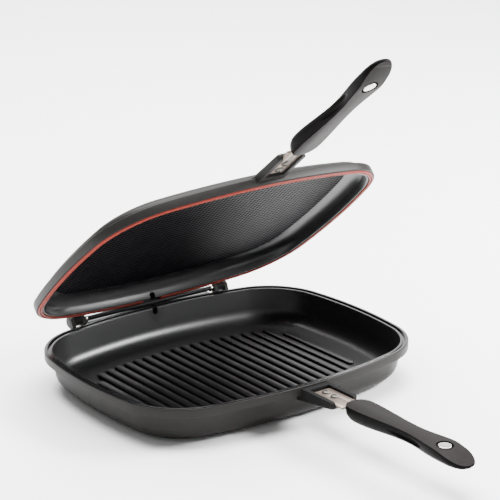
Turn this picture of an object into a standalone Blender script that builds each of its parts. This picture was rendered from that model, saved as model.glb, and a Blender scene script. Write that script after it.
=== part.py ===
"""Double sided flip pan: a ribbed lower pan and a shallow upper pan on two pin hinges.

Lengths are metres. +X runs along the hinge side, +Y to the hinges, +Z up, and the
origin lies at the centre of the flat base. The upper pan is modelled closed and is
then turned open about the hinge axis.
"""
import math

import bmesh
import bpy
from mathutils import Matrix, Vector

# Driving dimensions
PAN_LENGTH = 0.332          # along the hinge side, over the rim
PAN_DEPTH = 0.266           # front to back, over the rim
PAN_HEIGHT = 0.0387         # base to rim
LID_HEIGHT = 0.0193         # upper pan, rim to back
GRIP_LENGTH = 0.154
OPEN_ANGLE = math.radians(40.0)

# Rim outline: four bowed sides joined by four corner arcs
CORNER_RADIUS = 0.069
LONG_SIDE_BOW = 0.0286      # rise of the front and back arcs
SHORT_SIDE_BOW = 0.022      # rise of the end arcs
CORNER_STEPS = 8            # steps of each arc in a quarter of the outline
LONG_STEPS = 4
SHORT_STEPS = 3
CURVE_STEPS = 5             # steps of a rounded stretch of wall
SHARP_ANGLE = math.radians(32.0)

# Rim of the lower pan, from the outer edge inwards
RIM_BAND = 0.0083           # height of the flange
RIM_OVERHANG = 0.0072       # flange beyond the wall
RIM_LAND = 0.0032
GROOVE_WIDTH = 0.0016
GROOVE_DEPTH = 0.0018
LIP_WIDTH = 0.0021
EDGE_ROUND = 0.0007
RIM_GAP = 0.0024            # metal to metal when closed

# Walls and floor
WALL = 0.0033
FLOOR = 0.0053
WALL_DRAFT = 0.0037
BASE_RUN = 0.019            # outer base curve, inwards
BASE_RISE = 0.0157          # outer base curve, upwards
INNER_SHOULDER = 0.012      # rim down to the start of the inner curve
INNER_DRAFT = 0.001
INNER_RUN = 0.0245          # inner curve, inwards

# Ribs of the lower floor
RIB_PITCH = 0.01185
RIB_WIDTH = 0.0078
RIB_HEIGHT = 0.0024
RIB_EDGE = 0.0007
RIB_FIELD_INSET = 0.045
RIB_END_STEPS = 4

# Rim and shell of the upper pan
LID_LAND = 0.0017
CHANNEL_WIDTH = 0.0048
CHANNEL_DEPTH = 0.0036
LID_LIP_WIDTH = 0.0017
LID_FLOOR = 0.0036
LID_SHOULDER = 0.005
LID_INNER_DRAFT = 0.0016
LID_INNER_RUN = 0.020
LID_OUTER_STEP = 0.0009
LID_OUTER_RUN = 0.020

# Seal in the channel
SEAL_FIT = 0.0003
SEAL_PROUD = 0.0021
SEAL_SPLIT = 0.0008         # groove between its two lips
SEAL_LIP_BEVEL = 0.0005
SEAL_VENT_GAP = 0.0215

# Steam vent, a notch through both rims
VENT_WIDTH = 0.006
VENT_DEPTH = 0.0075
LID_VENT_DEPTH = 0.006
VENT_STEPS = 8

# Hinges
HINGE_SPACING = 0.0875      # centre of the pan to the middle of a hinge
HINGE_BACK = 0.0022         # axis behind the rim's rearmost point
HINGE_RISE = 0.0012          # axis over the lower rim
KNUCKLE_RADIUS = 0.0055
LID_KNUCKLE_WIDTH = 0.0075
EAR_WIDTH = 0.0042
EAR_GAP = 0.0005
PIN_DIAMETER = 0.005
PIN_FIT = 0.0003
PIN_HEAD_DIAMETER = 0.0074   # sits flush in the outer ear
PIN_HEAD_THICKNESS = 0.0012
CAP_DIAMETER = 0.0082
CAP_LENGTH = 0.0034
CAP_WALL = 0.0011
ROUND_STEPS = 24
KNUCKLE_STEPS = 16
ARM_ROOT_BITE = 0.0026      # arm ends this far in from the rim beside its outer ear
ARM_RISE_BACK = 0.0055      # arm starts to rise here, in front of that point
ARM_EDGE = 0.0005

# Handle lugs cast with both pans
LUG_REACH = 0.0425          # beyond the rim
CHEEK = 0.0044
LUG_TOP_DROP = 0.002        # below the rim plane
LUG_ROOT_HEIGHT = 0.0145
LID_LUG_ROOT_HEIGHT = 0.0086
LUG_FOOT_IN = 0.0016        # how much further in the lower lug's foot lies, as its wall does
LUG_END_HEIGHT = 0.0072
LUG_ROUND = 0.0032           # outer edges of the lug
CHANNEL_START = 0.0065      # start of the strap's bed beyond the rim
BED_CLEARANCE = 0.0004
LID_HANDLE_DROP = 0.0015     # the upper handle lies this much further from its rim plane

# Steel straps
STRAP_WIDTH = 0.021
STRAP_THICKNESS = 0.0022
STRAP_DROP = 0.0042         # mating side below the rim plane
STRAP_START = 0.0085        # beyond the rim
STRAP_OUT = 0.0515          # beyond the rim, where the grip begins
TONGUE_WIDTH = 0.014
TONGUE_LENGTH = 0.026
TONGUE_ROUND = 0.004
SEAT_FIT = 0.0003
SCREW_FIRST = 0.0155        # beyond the rim
SCREW_PITCH = 0.0122
SCREW_SHANK = 0.0040
SCREW_HEAD = 0.0072
SCREW_HEAD_HEIGHT = 0.0018
SCREW_LENGTH = 0.0042
SCREW_STEPS = 16
DOME_STEPS = 3

# Grips
GRIP_LIFT = 0.0004           # mating face past the handle's reference plane
GRIP_ROOT_WIDTH = 0.0265
GRIP_NECK_WIDTH = 0.0180
GRIP_TAIL_WIDTH = 0.0270
GRIP_DEPTH_ROOT = 0.0150
GRIP_DEPTH_NECK = 0.0118
GRIP_DEPTH_TAIL = 0.0128
GRIP_ROOT_ROUND = 0.0145
GRIP_TAIL_ROUND = 0.027
GRIP_STEPS = 26
ROOT_POWER = 2.2            # squareness of the grip's ends
TAIL_POWER = 2.05
GRIP_STATION_SHARES = (0.10, 0.53, 0.82)    # widest root, neck, widest tail
GRIP_SHELL_SHARES = (                       # width kept and depth reached, face to spine
    (1.00, 0.00),
    (1.03, 0.22),
    (1.00, 0.48),
    (0.88, 0.74),
    (0.66, 0.92),
    (0.36, 1.00),
)
SCOOP_LENGTH = 0.038
SCOOP_HEIGHT = 0.0095
SCOOP_BITE = 0.0026
SCOOP_REACH = 0.009
SCOOP_DROP_SHARE = 0.46     # of the grip's depth, face to the scoop's centre
GRIP_SCREW_BACK = 0.017     # from the grip's root
GRIP_SCREW_HEAD = 0.0078
GRIP_SCREW_HEAD_HEIGHT = 0.0022
COUNTERBORE_FIT = 0.0005
GRIP_SCREW_SINK = 0.0012    # head below the grip's spine

# Magnets
MAGNET_DIAMETER = 0.012
MAGNET_THICKNESS = 0.003
MAGNET_RECESS = 0.0152
MAGNET_SINK = 0.0003
MAGNET_BACK = 0.1205        # from the grip's root
MAGNET_BEVEL = 0.0004

OVERRUN = 0.002             # how far cutters pass what they cut
SINK = 0.0006               # how far a joined form reaches into its carrier

HALF_LENGTH = PAN_LENGTH / 2
HALF_DEPTH = PAN_DEPTH / 2
OPENING_INSET = RIM_LAND + GROOVE_WIDTH + LIP_WIDTH
AXIS_Y = HALF_DEPTH + HINGE_BACK
AXIS_Z = PAN_HEIGHT + HINGE_RISE
LID_RIM_Z = PAN_HEIGHT + RIM_GAP
GRIP_START_Y = -(HALF_DEPTH + STRAP_OUT)

TONGUE_DEPTH = STRAP_DROP + GRIP_LIFT       # strap below the grip's mating face

# Reference planes: height when closed, and which way their depth runs
PLANES = {
    "lower": (PAN_HEIGHT, -1.0),
    "lower_handle": (PAN_HEIGHT, -1.0),
    "lower_grip": (PAN_HEIGHT + GRIP_LIFT, -1.0),
    "upper": (LID_RIM_Z, 1.0),
    "upper_handle": (LID_RIM_Z + LID_HANDLE_DROP, 1.0),
    "upper_grip": (LID_RIM_Z + LID_HANDLE_DROP - GRIP_LIFT, 1.0),
}

# What differs between the two pans' castings
CASTINGS = {
    "lower": {"groove": GROOVE_DEPTH, "lug_root": LUG_ROOT_HEIGHT, "lug_foot_in": LUG_FOOT_IN},
    "upper": {"groove": CHANNEL_DEPTH, "lug_root": LID_LUG_ROOT_HEIGHT, "lug_foot_in": 0.0},
}


def clear_scene():
    """Remove what the file holds."""
    for thing in list(bpy.data.objects):
        bpy.data.objects.remove(thing, do_unlink=True)


def material(name, colour, roughness, metallic):
    """One plain Principled material."""
    made = bpy.data.materials.new(name)
    made.use_nodes = True
    shader = made.node_tree.nodes["Principled BSDF"]
    shader.inputs["Base Color"].default_value = (*colour, 1.0)
    shader.inputs["Roughness"].default_value = roughness
    shader.inputs["Metallic"].default_value = metallic
    return made


def mesh_object(name, bm, finish, pivot=None):
    """Turn a mesh drawn in closed-pan places into an object, under the pivot if it opens."""
    bmesh.ops.recalc_face_normals(bm, faces=bm.faces)
    mesh = bpy.data.meshes.new(name)
    bm.to_mesh(mesh)
    bm.free()
    mesh.shade_smooth()
    mesh.set_sharp_from_angle(angle=SHARP_ANGLE)
    made = bpy.data.objects.new(name, mesh)
    bpy.context.collection.objects.link(made)
    if finish is not None:
        mesh.materials.append(finish)
    if pivot is not None:
        mesh.transform(Matrix.Translation(-pivot.location))
        made.parent = pivot
    return made


def tool_object(name, bm, pivot=None):
    """A guide that only shapes another object."""
    made = mesh_object(name, bm, None, pivot)
    made.hide_render = True
    made.display_type = "WIRE"
    return made


def combine(target, tool, operation):
    """Join a form to an object, or cut it out."""
    step = target.modifiers.new(tool.name, "BOOLEAN")
    step.object = tool
    step.operation = operation
    step.solver = "EXACT"


def loft(bm, rings):
    """Skin closed rings of equal counts one after the other, and cap both ends."""
    loops = [[bm.verts.new(point) for point in ring] for ring in rings]
    count = len(loops[0])
    for near, far in zip(loops, loops[1:]):
        for i in range(count):
            j = (i + 1) % count
            bm.faces.new((near[i], near[j], far[j], far[i]))
    bm.faces.new(list(reversed(loops[0])))
    bm.faces.new(loops[-1])


def lofted(rings):
    """A new mesh with one lofted body."""
    bm = bmesh.new()
    loft(bm, rings)
    return bm


def height(plane, depth):
    """World height of a point that lies some depth behind a reference plane."""
    level, away = PLANES[plane]
    return level + away * depth


def side_arc(half_chord, bow):
    """Radius of a bowed side that rises by bow over its half chord."""
    return (half_chord ** 2 + bow ** 2) / (2 * bow)


def corner_centre():
    """Centre of the corner arc that touches both side arcs from inside."""
    long_radius = side_arc(HALF_LENGTH, LONG_SIDE_BOW)
    short_radius = side_arc(HALF_DEPTH, SHORT_SIDE_BOW)
    long_centre = Vector((0.0, HALF_DEPTH - long_radius))
    short_centre = Vector((HALF_LENGTH - short_radius, 0.0))
    reach_long = long_radius - CORNER_RADIUS
    reach_short = short_radius - CORNER_RADIUS
    apart = short_centre - long_centre
    span = apart.length
    along = (reach_long ** 2 - reach_short ** 2 + span ** 2) / (2 * span)
    aside = math.sqrt(max(reach_long ** 2 - along ** 2, 0.0))
    way = apart / span
    square = Vector((-way.y, way.x))
    if square.x + square.y < 0:
        square = -square
    return long_centre, short_centre, long_centre + along * way + aside * square


def arc(centre, radius, start, end, steps):
    """Points of an arc without its last one."""
    turns = [start + (end - start) * i / steps for i in range(steps)]
    return [(centre.x + radius * math.cos(t), centre.y + radius * math.sin(t)) for t in turns]


def quarter(inset):
    """Rim outline from the middle of the back to the middle of the right end."""
    long_centre, short_centre, corner = corner_centre()
    to_long = corner - long_centre
    to_short = corner - short_centre
    turn_long = math.atan2(to_long.y, to_long.x)
    turn_short = math.atan2(to_short.y, to_short.x)
    long_radius = side_arc(HALF_LENGTH, LONG_SIDE_BOW) - inset
    short_radius = side_arc(HALF_DEPTH, SHORT_SIDE_BOW) - inset
    points = arc(long_centre, long_radius, math.pi / 2, turn_long, LONG_STEPS)
    points += arc(corner, CORNER_RADIUS - inset, turn_long, turn_short, CORNER_STEPS)
    points += arc(short_centre, short_radius, turn_short, 0.0, SHORT_STEPS)
    return points


def outline(inset):
    """Whole rim outline, drawn in from the edge by inset."""
    back_right = quarter(inset)
    end = (HALF_LENGTH - inset, 0.0)
    front_right = [(x, -y) for x, y in reversed(back_right)]
    right = back_right + [end] + front_right
    left = [(-x, y) for x, y in reversed(right[1:-1])]
    return right + left


def edge_y(x, inset):
    """Depth coordinate of the outline at a given x, on the back side."""
    long_centre, _, corner = corner_centre()
    long_radius = side_arc(HALF_LENGTH, LONG_SIDE_BOW)
    touch_share = long_radius / (long_radius - CORNER_RADIUS)
    touch_x = (corner.x - long_centre.x) * touch_share
    if abs(x) <= touch_x:
        return long_centre.y + math.sqrt((long_radius - inset) ** 2 - x ** 2)
    across = abs(x) - corner.x
    return corner.y + math.sqrt(max((CORNER_RADIUS - inset) ** 2 - across ** 2, 0.0))


def shell_ring(half, inset, depth):
    """One ring of a pan: the outline at an inset, some depth behind the rim plane."""
    z = height(half, depth)
    return [(x, y, z) for x, y in outline(inset)]


def curve_profile(inset, depth, run, rise, steps):
    """Quarter ellipse from a steep wall to a flat floor, as (inset, depth) pairs."""
    turns = [math.pi / 2 * i / steps for i in range(steps + 1)]
    return [(inset + run * (1 - math.cos(t)), depth + rise * math.sin(t)) for t in turns]


def lower_profile():
    """Section of the lower pan from under its base, round the rim, to its floor."""
    wall_foot = PAN_HEIGHT - BASE_RISE
    outer = curve_profile(RIM_OVERHANG + WALL_DRAFT, wall_foot, BASE_RUN, BASE_RISE, CURVE_STEPS)
    groove = RIM_LAND
    lip = RIM_LAND + GROOVE_WIDTH
    rim = [
        (RIM_OVERHANG, RIM_BAND + EDGE_ROUND),
        (RIM_OVERHANG - EDGE_ROUND, RIM_BAND),
        (EDGE_ROUND, RIM_BAND),
        (0.0, RIM_BAND - EDGE_ROUND),
        (0.0, EDGE_ROUND),
        (EDGE_ROUND, 0.0),
        (groove, 0.0),
        (groove, GROOVE_DEPTH),
        (lip, GROOVE_DEPTH),
        (lip, 0.0),
        (OPENING_INSET - EDGE_ROUND / 2, 0.0),
        (OPENING_INSET, EDGE_ROUND),
    ]
    inner_start = RIM_OVERHANG + WALL + INNER_DRAFT
    rise = PAN_HEIGHT - INNER_SHOULDER - FLOOR
    inner = curve_profile(inner_start, INNER_SHOULDER, INNER_RUN, rise, CURVE_STEPS)
    return list(reversed(outer)) + rim + inner


def upper_profile():
    """Section of the upper pan from its back, round the rim and channel, to its floor."""
    wall_start = RIM_BAND + LID_OUTER_STEP
    rise = LID_HEIGHT - wall_start
    outer = curve_profile(RIM_OVERHANG, wall_start, LID_OUTER_RUN, rise, CURVE_STEPS)
    channel_end = LID_LAND + CHANNEL_WIDTH
    lip_end = channel_end + LID_LIP_WIDTH
    rim = [
        (RIM_OVERHANG - EDGE_ROUND, RIM_BAND),
        (EDGE_ROUND, RIM_BAND),
        (0.0, RIM_BAND - EDGE_ROUND),
        (0.0, EDGE_ROUND),
        (EDGE_ROUND, 0.0),
        (LID_LAND, 0.0),
        (LID_LAND, CHANNEL_DEPTH),
        (channel_end, CHANNEL_DEPTH),
        (channel_end, 0.0),
        (lip_end - EDGE_ROUND / 2, 0.0),
        (lip_end, EDGE_ROUND),
    ]
    inner_rise = LID_HEIGHT - LID_FLOOR - LID_SHOULDER
    inner_start = lip_end + LID_INNER_DRAFT
    inner = curve_profile(inner_start, LID_SHOULDER, LID_INNER_RUN, inner_rise, CURVE_STEPS)
    return list(reversed(outer)) + rim + inner


def pan_shell(half, profile):
    """A pan's casting without its ribs, lug and hinge arms."""
    return lofted([shell_ring(half, inset, depth) for inset, depth in profile])


def circle(radius, steps, place):
    """Ring of points at a radius, each set in space by place(a, b)."""
    turns = [2 * math.pi * i / steps for i in range(steps)]
    return [place(radius * math.cos(t), radius * math.sin(t)) for t in turns]


def upright(plane, y, sections, steps):
    """Rings of a turned form on the middle line, square to a plane, from (radius, depth)."""
    rings = []
    for radius, depth in sections:
        z = height(plane, depth)
        rings.append(circle(radius, steps, lambda a, b: (a, y + b, z)))
    return rings


def along_axis(sections, steps):
    """Rings of a turned form on the hinge axis, from (radius, x) pairs."""
    rings = []
    for radius, x in sections:
        rings.append(circle(radius, steps, lambda a, b: (x, AXIS_Y + a, AXIS_Z + b)))
    return rings


def prism(plane, points, start, end):
    """Body with a side outline of (y, depth) points, from x = start to x = end."""
    rings = []
    for x in (start, end):
        rings.append([(x, y, height(plane, depth)) for y, depth in points])
    return lofted(rings)


def slab(plane, points, near, far):
    """Body with a plan outline of (x, y) points, between two depths."""
    rings = []
    for depth in (near, far):
        rings.append([(x, y, height(plane, depth)) for x, y in points])
    return lofted(rings)


def box_points(half_width, start, end):
    """Plan outline of a box between two y values."""
    return [(-half_width, start), (half_width, start), (half_width, end), (-half_width, end)]


def rib_outline(x, reach):
    """Plan outline of one rib, with round ends."""
    radius = RIB_WIDTH / 2
    turns = [math.pi * i / RIB_END_STEPS for i in range(RIB_END_STEPS + 1)]
    far = [(radius * math.cos(t), reach - radius + radius * math.sin(t)) for t in turns]
    near = [(-a, -b) for a, b in far]
    return [(x + a, b) for a, b in far + near]


def rib_field():
    """The ribs of the lower floor, front to back, shorter towards the ends."""
    field_half = HALF_LENGTH - RIB_FIELD_INSET
    per_side = int((field_half + RIB_PITCH / 2 - RIB_WIDTH / 2) / RIB_PITCH)
    floor_depth = PAN_HEIGHT - FLOOR
    shrink = 1 - 2 * RIB_EDGE / RIB_WIDTH
    bm = bmesh.new()
    for side in (-1, 1):
        for i in range(per_side):
            x = side * (i * RIB_PITCH + RIB_PITCH / 2)
            reach = edge_y(abs(x) + RIB_WIDTH / 2, RIB_FIELD_INSET)
            plan = rib_outline(x, reach)
            crown = [(x + (a - x) * shrink, b * (1 - RIB_EDGE / reach)) for a, b in plan]
            levels = (
                (plan, floor_depth + SINK),
                (plan, floor_depth - RIB_HEIGHT + RIB_EDGE),
                (crown, floor_depth - RIB_HEIGHT),
            )
            loft(bm, [[(a, b, height("lower", d)) for a, b in ring] for ring, d in levels])
    return bm


def lug_body(half):
    """Solid of a handle lug, tapering away from the wall, its outer edges rounded."""
    plane = f"{half}_handle"
    casting = CASTINGS[half]
    drop = abs(PLANES[plane][0] - PLANES[half][0])
    root_in = RIM_OVERHANG + WALL / 2 + casting["lug_foot_in"]
    front = -HALF_DEPTH
    side = [
        (front + LID_LAND / 2, LUG_TOP_DROP),
        (front + LID_LAND / 2, CHANNEL_DEPTH + SINK - drop),
        (front + RIM_OVERHANG + SINK, RIM_BAND - SINK - drop),
        (front + root_in, LUG_TOP_DROP + casting["lug_root"]),
        (front - LUG_REACH, LUG_TOP_DROP + LUG_END_HEIGHT),
        (front - LUG_REACH, LUG_TOP_DROP),
    ]
    reach = STRAP_WIDTH / 2 + BED_CLEARANCE + CHEEK
    bm = prism(plane, side, -reach, reach)
    outer = []
    for edge in bm.edges:
        near, far = sorted(edge.verts, key=lambda vert: vert.co.y)
        at_end = far.co.y < front - LUG_REACH / 2
        from_foot = near.co.y < front - LUG_REACH / 2 and far.co.y > front + RIM_OVERHANG + SINK
        if at_end or from_foot:
            outer.append(edge)
    bmesh.ops.bevel(bm, geom=outer, offset=LUG_ROUND, segments=3, affect="EDGES", profile=0.5)
    return bm


def lug_bed(half):
    """Cutter of the strap's bed between the cheeks."""
    start = -(HALF_DEPTH + CHANNEL_START)
    end = -(HALF_DEPTH + LUG_REACH + OVERRUN)
    plan = box_points(STRAP_WIDTH / 2 + BED_CLEARANCE, end, start)
    far = STRAP_DROP + STRAP_THICKNESS + SEAT_FIT
    return slab(f"{half}_handle", plan, -OVERRUN, far)


def screw_places():
    """Distance of each strap screw in front of the pan's centre."""
    first = -(HALF_DEPTH + SCREW_FIRST)
    return [first, first - SCREW_PITCH]


def lug_holes(half):
    """Cutter of the blind screw holes in a lug."""
    start = STRAP_DROP + STRAP_THICKNESS / 2
    end = STRAP_DROP + SCREW_LENGTH + SEAT_FIT
    radius = SCREW_SHANK / 2 + SEAT_FIT
    bm = bmesh.new()
    for y in screw_places():
        span = [(radius, start), (radius, end)]
        loft(bm, upright(f"{half}_handle", y, span, SCREW_STEPS))
    return bm


def tangent_turn(point, centre, radius, side):
    """Direction from a circle's centre to where a line from the point touches it."""
    away = Vector(point) - Vector(centre)
    return math.atan2(away.y, away.x) + side * math.acos(radius / away.length)


def arm_side(half):
    """Side outline of a hinge arm: a root in the flange and a round knuckle."""
    level, away = PLANES[half]
    axis_depth = away * (AXIS_Z - level)
    centre = (AXIS_Y, axis_depth)
    outermost = ear_spans()[1][1]
    root = edge_y(outermost, 0.0) - ARM_ROOT_BITE
    near = CASTINGS[half]["groove"] + ARM_EDGE
    far = RIM_BAND - ARM_EDGE
    bend = (HALF_DEPTH - ARM_RISE_BACK, near)
    foot = (root, far)
    start = tangent_turn(bend, centre, KNUCKLE_RADIUS, 1)
    end = tangent_turn(foot, centre, KNUCKLE_RADIUS, -1) + 2 * math.pi
    while end - start > 2 * math.pi:
        end -= 2 * math.pi
    turns = [start + (end - start) * i / KNUCKLE_STEPS for i in range(KNUCKLE_STEPS + 1)]
    knuckle = [
        (centre[0] + KNUCKLE_RADIUS * math.cos(t), centre[1] + KNUCKLE_RADIUS * math.sin(t))
        for t in turns
    ]
    return [(root, near), bend] + knuckle + [foot]


def ear_spans():
    """Start and end of the lower pan's two ears, measured outwards from the middle."""
    inner_end = HINGE_SPACING - LID_KNUCKLE_WIDTH / 2 - EAR_GAP
    outer_start = HINGE_SPACING + LID_KNUCKLE_WIDTH / 2 + EAR_GAP
    return (inner_end - EAR_WIDTH, inner_end), (outer_start, outer_start + EAR_WIDTH)


def hinge_arms(half, spans):
    """All hinge arms of one pan."""
    bm = bmesh.new()
    side_points = arm_side(half)
    for side in (-1, 1):
        for start, end in spans:
            rings = []
            for x in (side * start, side * end):
                rings.append([(x, y, height(half, depth)) for y, depth in side_points])
            loft(bm, rings)
    return bm


def pin_bores():
    """Cutter of the pin bores on both sides, with the seats of the pin heads."""
    (start, _), (_, end) = ear_spans()
    radius = PIN_DIAMETER / 2 + PIN_FIT
    head = PIN_HEAD_DIAMETER / 2 + PIN_FIT
    seat = end - PIN_HEAD_THICKNESS - PIN_FIT
    bm = bmesh.new()
    for side in (-1, 1):
        sections = [
            (radius, side * (start - OVERRUN)),
            (radius, side * seat),
            (head, side * seat),
            (head, side * (end + OVERRUN)),
        ]
        loft(bm, along_axis(sections, ROUND_STEPS))
    return bm


def vent_notch(half, depth):
    """Cutter of the steam vent, a round-bottomed notch through the rim."""
    radius = VENT_WIDTH / 2
    turns = [math.pi * i / VENT_STEPS for i in range(VENT_STEPS + 1)]
    section = [(radius * math.cos(t), depth - radius + radius * math.sin(t)) for t in turns]
    section += [(-radius, -OVERRUN), (radius, -OVERRUN)]
    inner = HALF_DEPTH - RIM_OVERHANG - WALL - INNER_DRAFT - OVERRUN
    rings = []
    for y in (inner, HALF_DEPTH + OVERRUN):
        rings.append([(x, y, height(half, d)) for x, d in section])
    return lofted(rings)


def make_pan(half, name, profile, finish, arms, vent_depth, pivot=None):
    """A whole cast pan with its lug, hinge arms, bed, holes and vent."""
    pan = mesh_object(name, pan_shell(half, profile), finish, pivot)
    joined = {"lug": lug_body(half), "arms": hinge_arms(half, arms)}
    cut = {
        "bed": lug_bed(half),
        "screw_holes": lug_holes(half),
        "bores": pin_bores(),
        "vent": vent_notch(half, vent_depth),
    }
    for title, bm in joined.items():
        combine(pan, tool_object(f"{half}_{title}_guide", bm, pivot), "UNION")
    for title, bm in cut.items():
        combine(pan, tool_object(f"{half}_{title}_guide", bm, pivot), "DIFFERENCE")
    return pan


def make_lower_pan(finish):
    """The lower pan with its ribbed floor."""
    pan = make_pan("lower", "lower_pan", lower_profile(), finish, ear_spans(), VENT_DEPTH)
    combine(pan, tool_object("rib_guide", rib_field()), "UNION")


def make_upper_pan(finish, pivot):
    """The upper pan with the seal's channel."""
    knuckle = (HINGE_SPACING - LID_KNUCKLE_WIDTH / 2, HINGE_SPACING + LID_KNUCKLE_WIDTH / 2)
    make_pan("upper", "upper_pan", upper_profile(), finish, [knuckle], LID_VENT_DEPTH, pivot)


def make_seal(finish, pivot):
    """The silicone seal, a two-lipped strip round the rim, open at the vent."""
    start = LID_LAND + SEAL_FIT
    end = LID_LAND + CHANNEL_WIDTH - SEAL_FIT
    middle = (start + end) / 2
    section = [
        (start, CHANNEL_DEPTH - SEAL_FIT),
        (end, CHANNEL_DEPTH - SEAL_FIT),
        (end, SEAL_LIP_BEVEL - SEAL_PROUD),
        (end - SEAL_LIP_BEVEL, -SEAL_PROUD),
        (middle + SEAL_SPLIT / 2, -SEAL_PROUD),
        (middle, SEAL_SPLIT - SEAL_PROUD),
        (middle - SEAL_SPLIT / 2, -SEAL_PROUD),
        (start + SEAL_LIP_BEVEL, -SEAL_PROUD),
        (start, SEAL_LIP_BEVEL - SEAL_PROUD),
    ]
    lines = []
    for inset, depth in section:
        around = outline(inset)
        edge = edge_y(SEAL_VENT_GAP / 2, inset)
        line = [(SEAL_VENT_GAP / 2, edge)] + around[1:] + [(-SEAL_VENT_GAP / 2, edge)]
        lines.append([(x, y, height("upper", depth)) for x, y in line])
    rings = [list(ring) for ring in zip(*lines)]
    mesh_object("silicone_seal", lofted(rings), finish, pivot)


def make_pin(side, name, finish):
    """A hinge pin with its head flush in the lower pan's outer ear."""
    (start, _), (_, end) = ear_spans()
    tip = start - CAP_LENGTH + CAP_WALL
    head = end - PIN_HEAD_THICKNESS
    sections = [
        (PIN_DIAMETER / 2 - ARM_EDGE, tip),
        (PIN_DIAMETER / 2, tip + ARM_EDGE),
        (PIN_DIAMETER / 2, head),
        (PIN_HEAD_DIAMETER / 2, head),
        (PIN_HEAD_DIAMETER / 2, head + PIN_HEAD_THICKNESS - ARM_EDGE),
        (PIN_HEAD_DIAMETER / 2 - ARM_EDGE, head + PIN_HEAD_THICKNESS),
    ]
    rings = along_axis([(radius, side * x) for radius, x in sections], ROUND_STEPS)
    mesh_object(name, lofted(rings), finish)


def make_pin_cap(side, name, finish):
    """The cap pressed on a pin's inner end."""
    (start, _), _ = ear_spans()
    mouth = start - PIN_FIT
    bore = PIN_DIAMETER / 2 + PIN_FIT
    end = mouth - CAP_LENGTH
    sections = [
        (bore, end + CAP_WALL - PIN_FIT),
        (bore, mouth),
        (CAP_DIAMETER / 2, mouth),
        (CAP_DIAMETER / 2, end + ARM_EDGE),
        (CAP_DIAMETER / 2 - ARM_EDGE, end),
    ]
    rings = along_axis([(radius, side * x) for radius, x in sections], ROUND_STEPS)
    mesh_object(name, lofted(rings), finish)


def strap_outline():
    """Plan outline of a strap: a wide bar and a round-cornered tongue."""
    start = -(HALF_DEPTH + STRAP_START)
    shoulder = GRIP_START_Y + SEAT_FIT
    tip = GRIP_START_Y - TONGUE_LENGTH
    half_tongue = TONGUE_WIDTH / 2
    corner = Vector((half_tongue - TONGUE_ROUND, tip + TONGUE_ROUND))
    right = [(STRAP_WIDTH / 2, start), (STRAP_WIDTH / 2, shoulder), (half_tongue, shoulder)]
    right += arc(corner, TONGUE_ROUND, 0.0, -math.pi / 2, CURVE_STEPS)
    right += [(corner.x, tip)]
    return right + [(-x, y) for x, y in reversed(right)]


def make_strap(half, finish, pivot):
    """The steel strap that carries a grip."""
    plane = f"{half}_handle"
    plate = slab(plane, strap_outline(), STRAP_DROP, STRAP_DROP + STRAP_THICKNESS)
    strap = mesh_object(f"{half}_strap", plate, finish, pivot)
    radius = SCREW_SHANK / 2 + SEAT_FIT
    span = [(radius, STRAP_DROP - OVERRUN), (radius, STRAP_DROP + STRAP_THICKNESS + OVERRUN)]
    bm = bmesh.new()
    for y in screw_places() + [GRIP_START_Y - GRIP_SCREW_BACK]:
        loft(bm, upright(plane, y, span, SCREW_STEPS))
    combine(strap, tool_object(f"{half}_strap_holes_guide", bm, pivot), "DIFFERENCE")


def make_strap_screw(half, number, y, finish, pivot):
    """A domed screw that holds a strap in its bed."""
    seat = STRAP_DROP - SEAT_FIT
    dome = []
    for i in range(1, DOME_STEPS + 1):
        turn = math.pi / 2 * i / (DOME_STEPS + 1)
        dome.append((SCREW_HEAD / 2 * math.sin(turn), seat - SCREW_HEAD_HEIGHT * math.cos(turn)))
    tip = STRAP_DROP + SCREW_LENGTH
    sections = dome + [
        (SCREW_HEAD / 2, seat),
        (SCREW_SHANK / 2, seat),
        (SCREW_SHANK / 2, tip - ARM_EDGE),
        (SCREW_SHANK / 2 - ARM_EDGE, tip),
    ]
    rings = upright(f"{half}_handle", y, sections, SCREW_STEPS)
    mesh_object(f"{half}_strap_screw_{number}", lofted(rings), finish, pivot)


def blend(share, stops, values):
    """Smooth value between named stops along the grip."""
    if share <= stops[0]:
        return values[0]
    if share >= stops[-1]:
        return values[-1]
    for near, far, a, b in zip(stops, stops[1:], values, values[1:]):
        if share <= far:
            ease = (1 - math.cos(math.pi * (share - near) / (far - near))) / 2
            return a + (b - a) * ease
    return values[-1]


def grip_half_width(back):
    """Half width of the grip's mating face, some way back from its root."""
    widths = (GRIP_ROOT_WIDTH, GRIP_NECK_WIDTH, GRIP_TAIL_WIDTH)
    half = blend(back / GRIP_LENGTH, GRIP_STATION_SHARES, widths) / 2
    for left, rounding, power in (
        (back, GRIP_ROOT_ROUND, ROOT_POWER),
        (GRIP_LENGTH - back, GRIP_TAIL_ROUND, TAIL_POWER),
    ):
        if left < rounding:
            half *= (1 - (1 - left / rounding) ** power) ** (1 / power)
    return half


def grip_depth(back):
    """Depth of the grip from its mating face to its spine."""
    depths = (GRIP_DEPTH_ROOT, GRIP_DEPTH_NECK, GRIP_DEPTH_TAIL)
    return blend(back / GRIP_LENGTH, GRIP_STATION_SHARES, depths)


def grip_stations():
    """Distances from the root, closer together where the ends are round."""
    turns = [math.pi * i / GRIP_STEPS for i in range(GRIP_STEPS + 1)]
    even = [GRIP_LENGTH * i / GRIP_STEPS for i in range(GRIP_STEPS + 1)]
    eased = [GRIP_LENGTH * (1 - math.cos(t)) / 2 for t in turns]
    return [(a + b) / 2 for a, b in zip(even, eased)]


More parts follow.
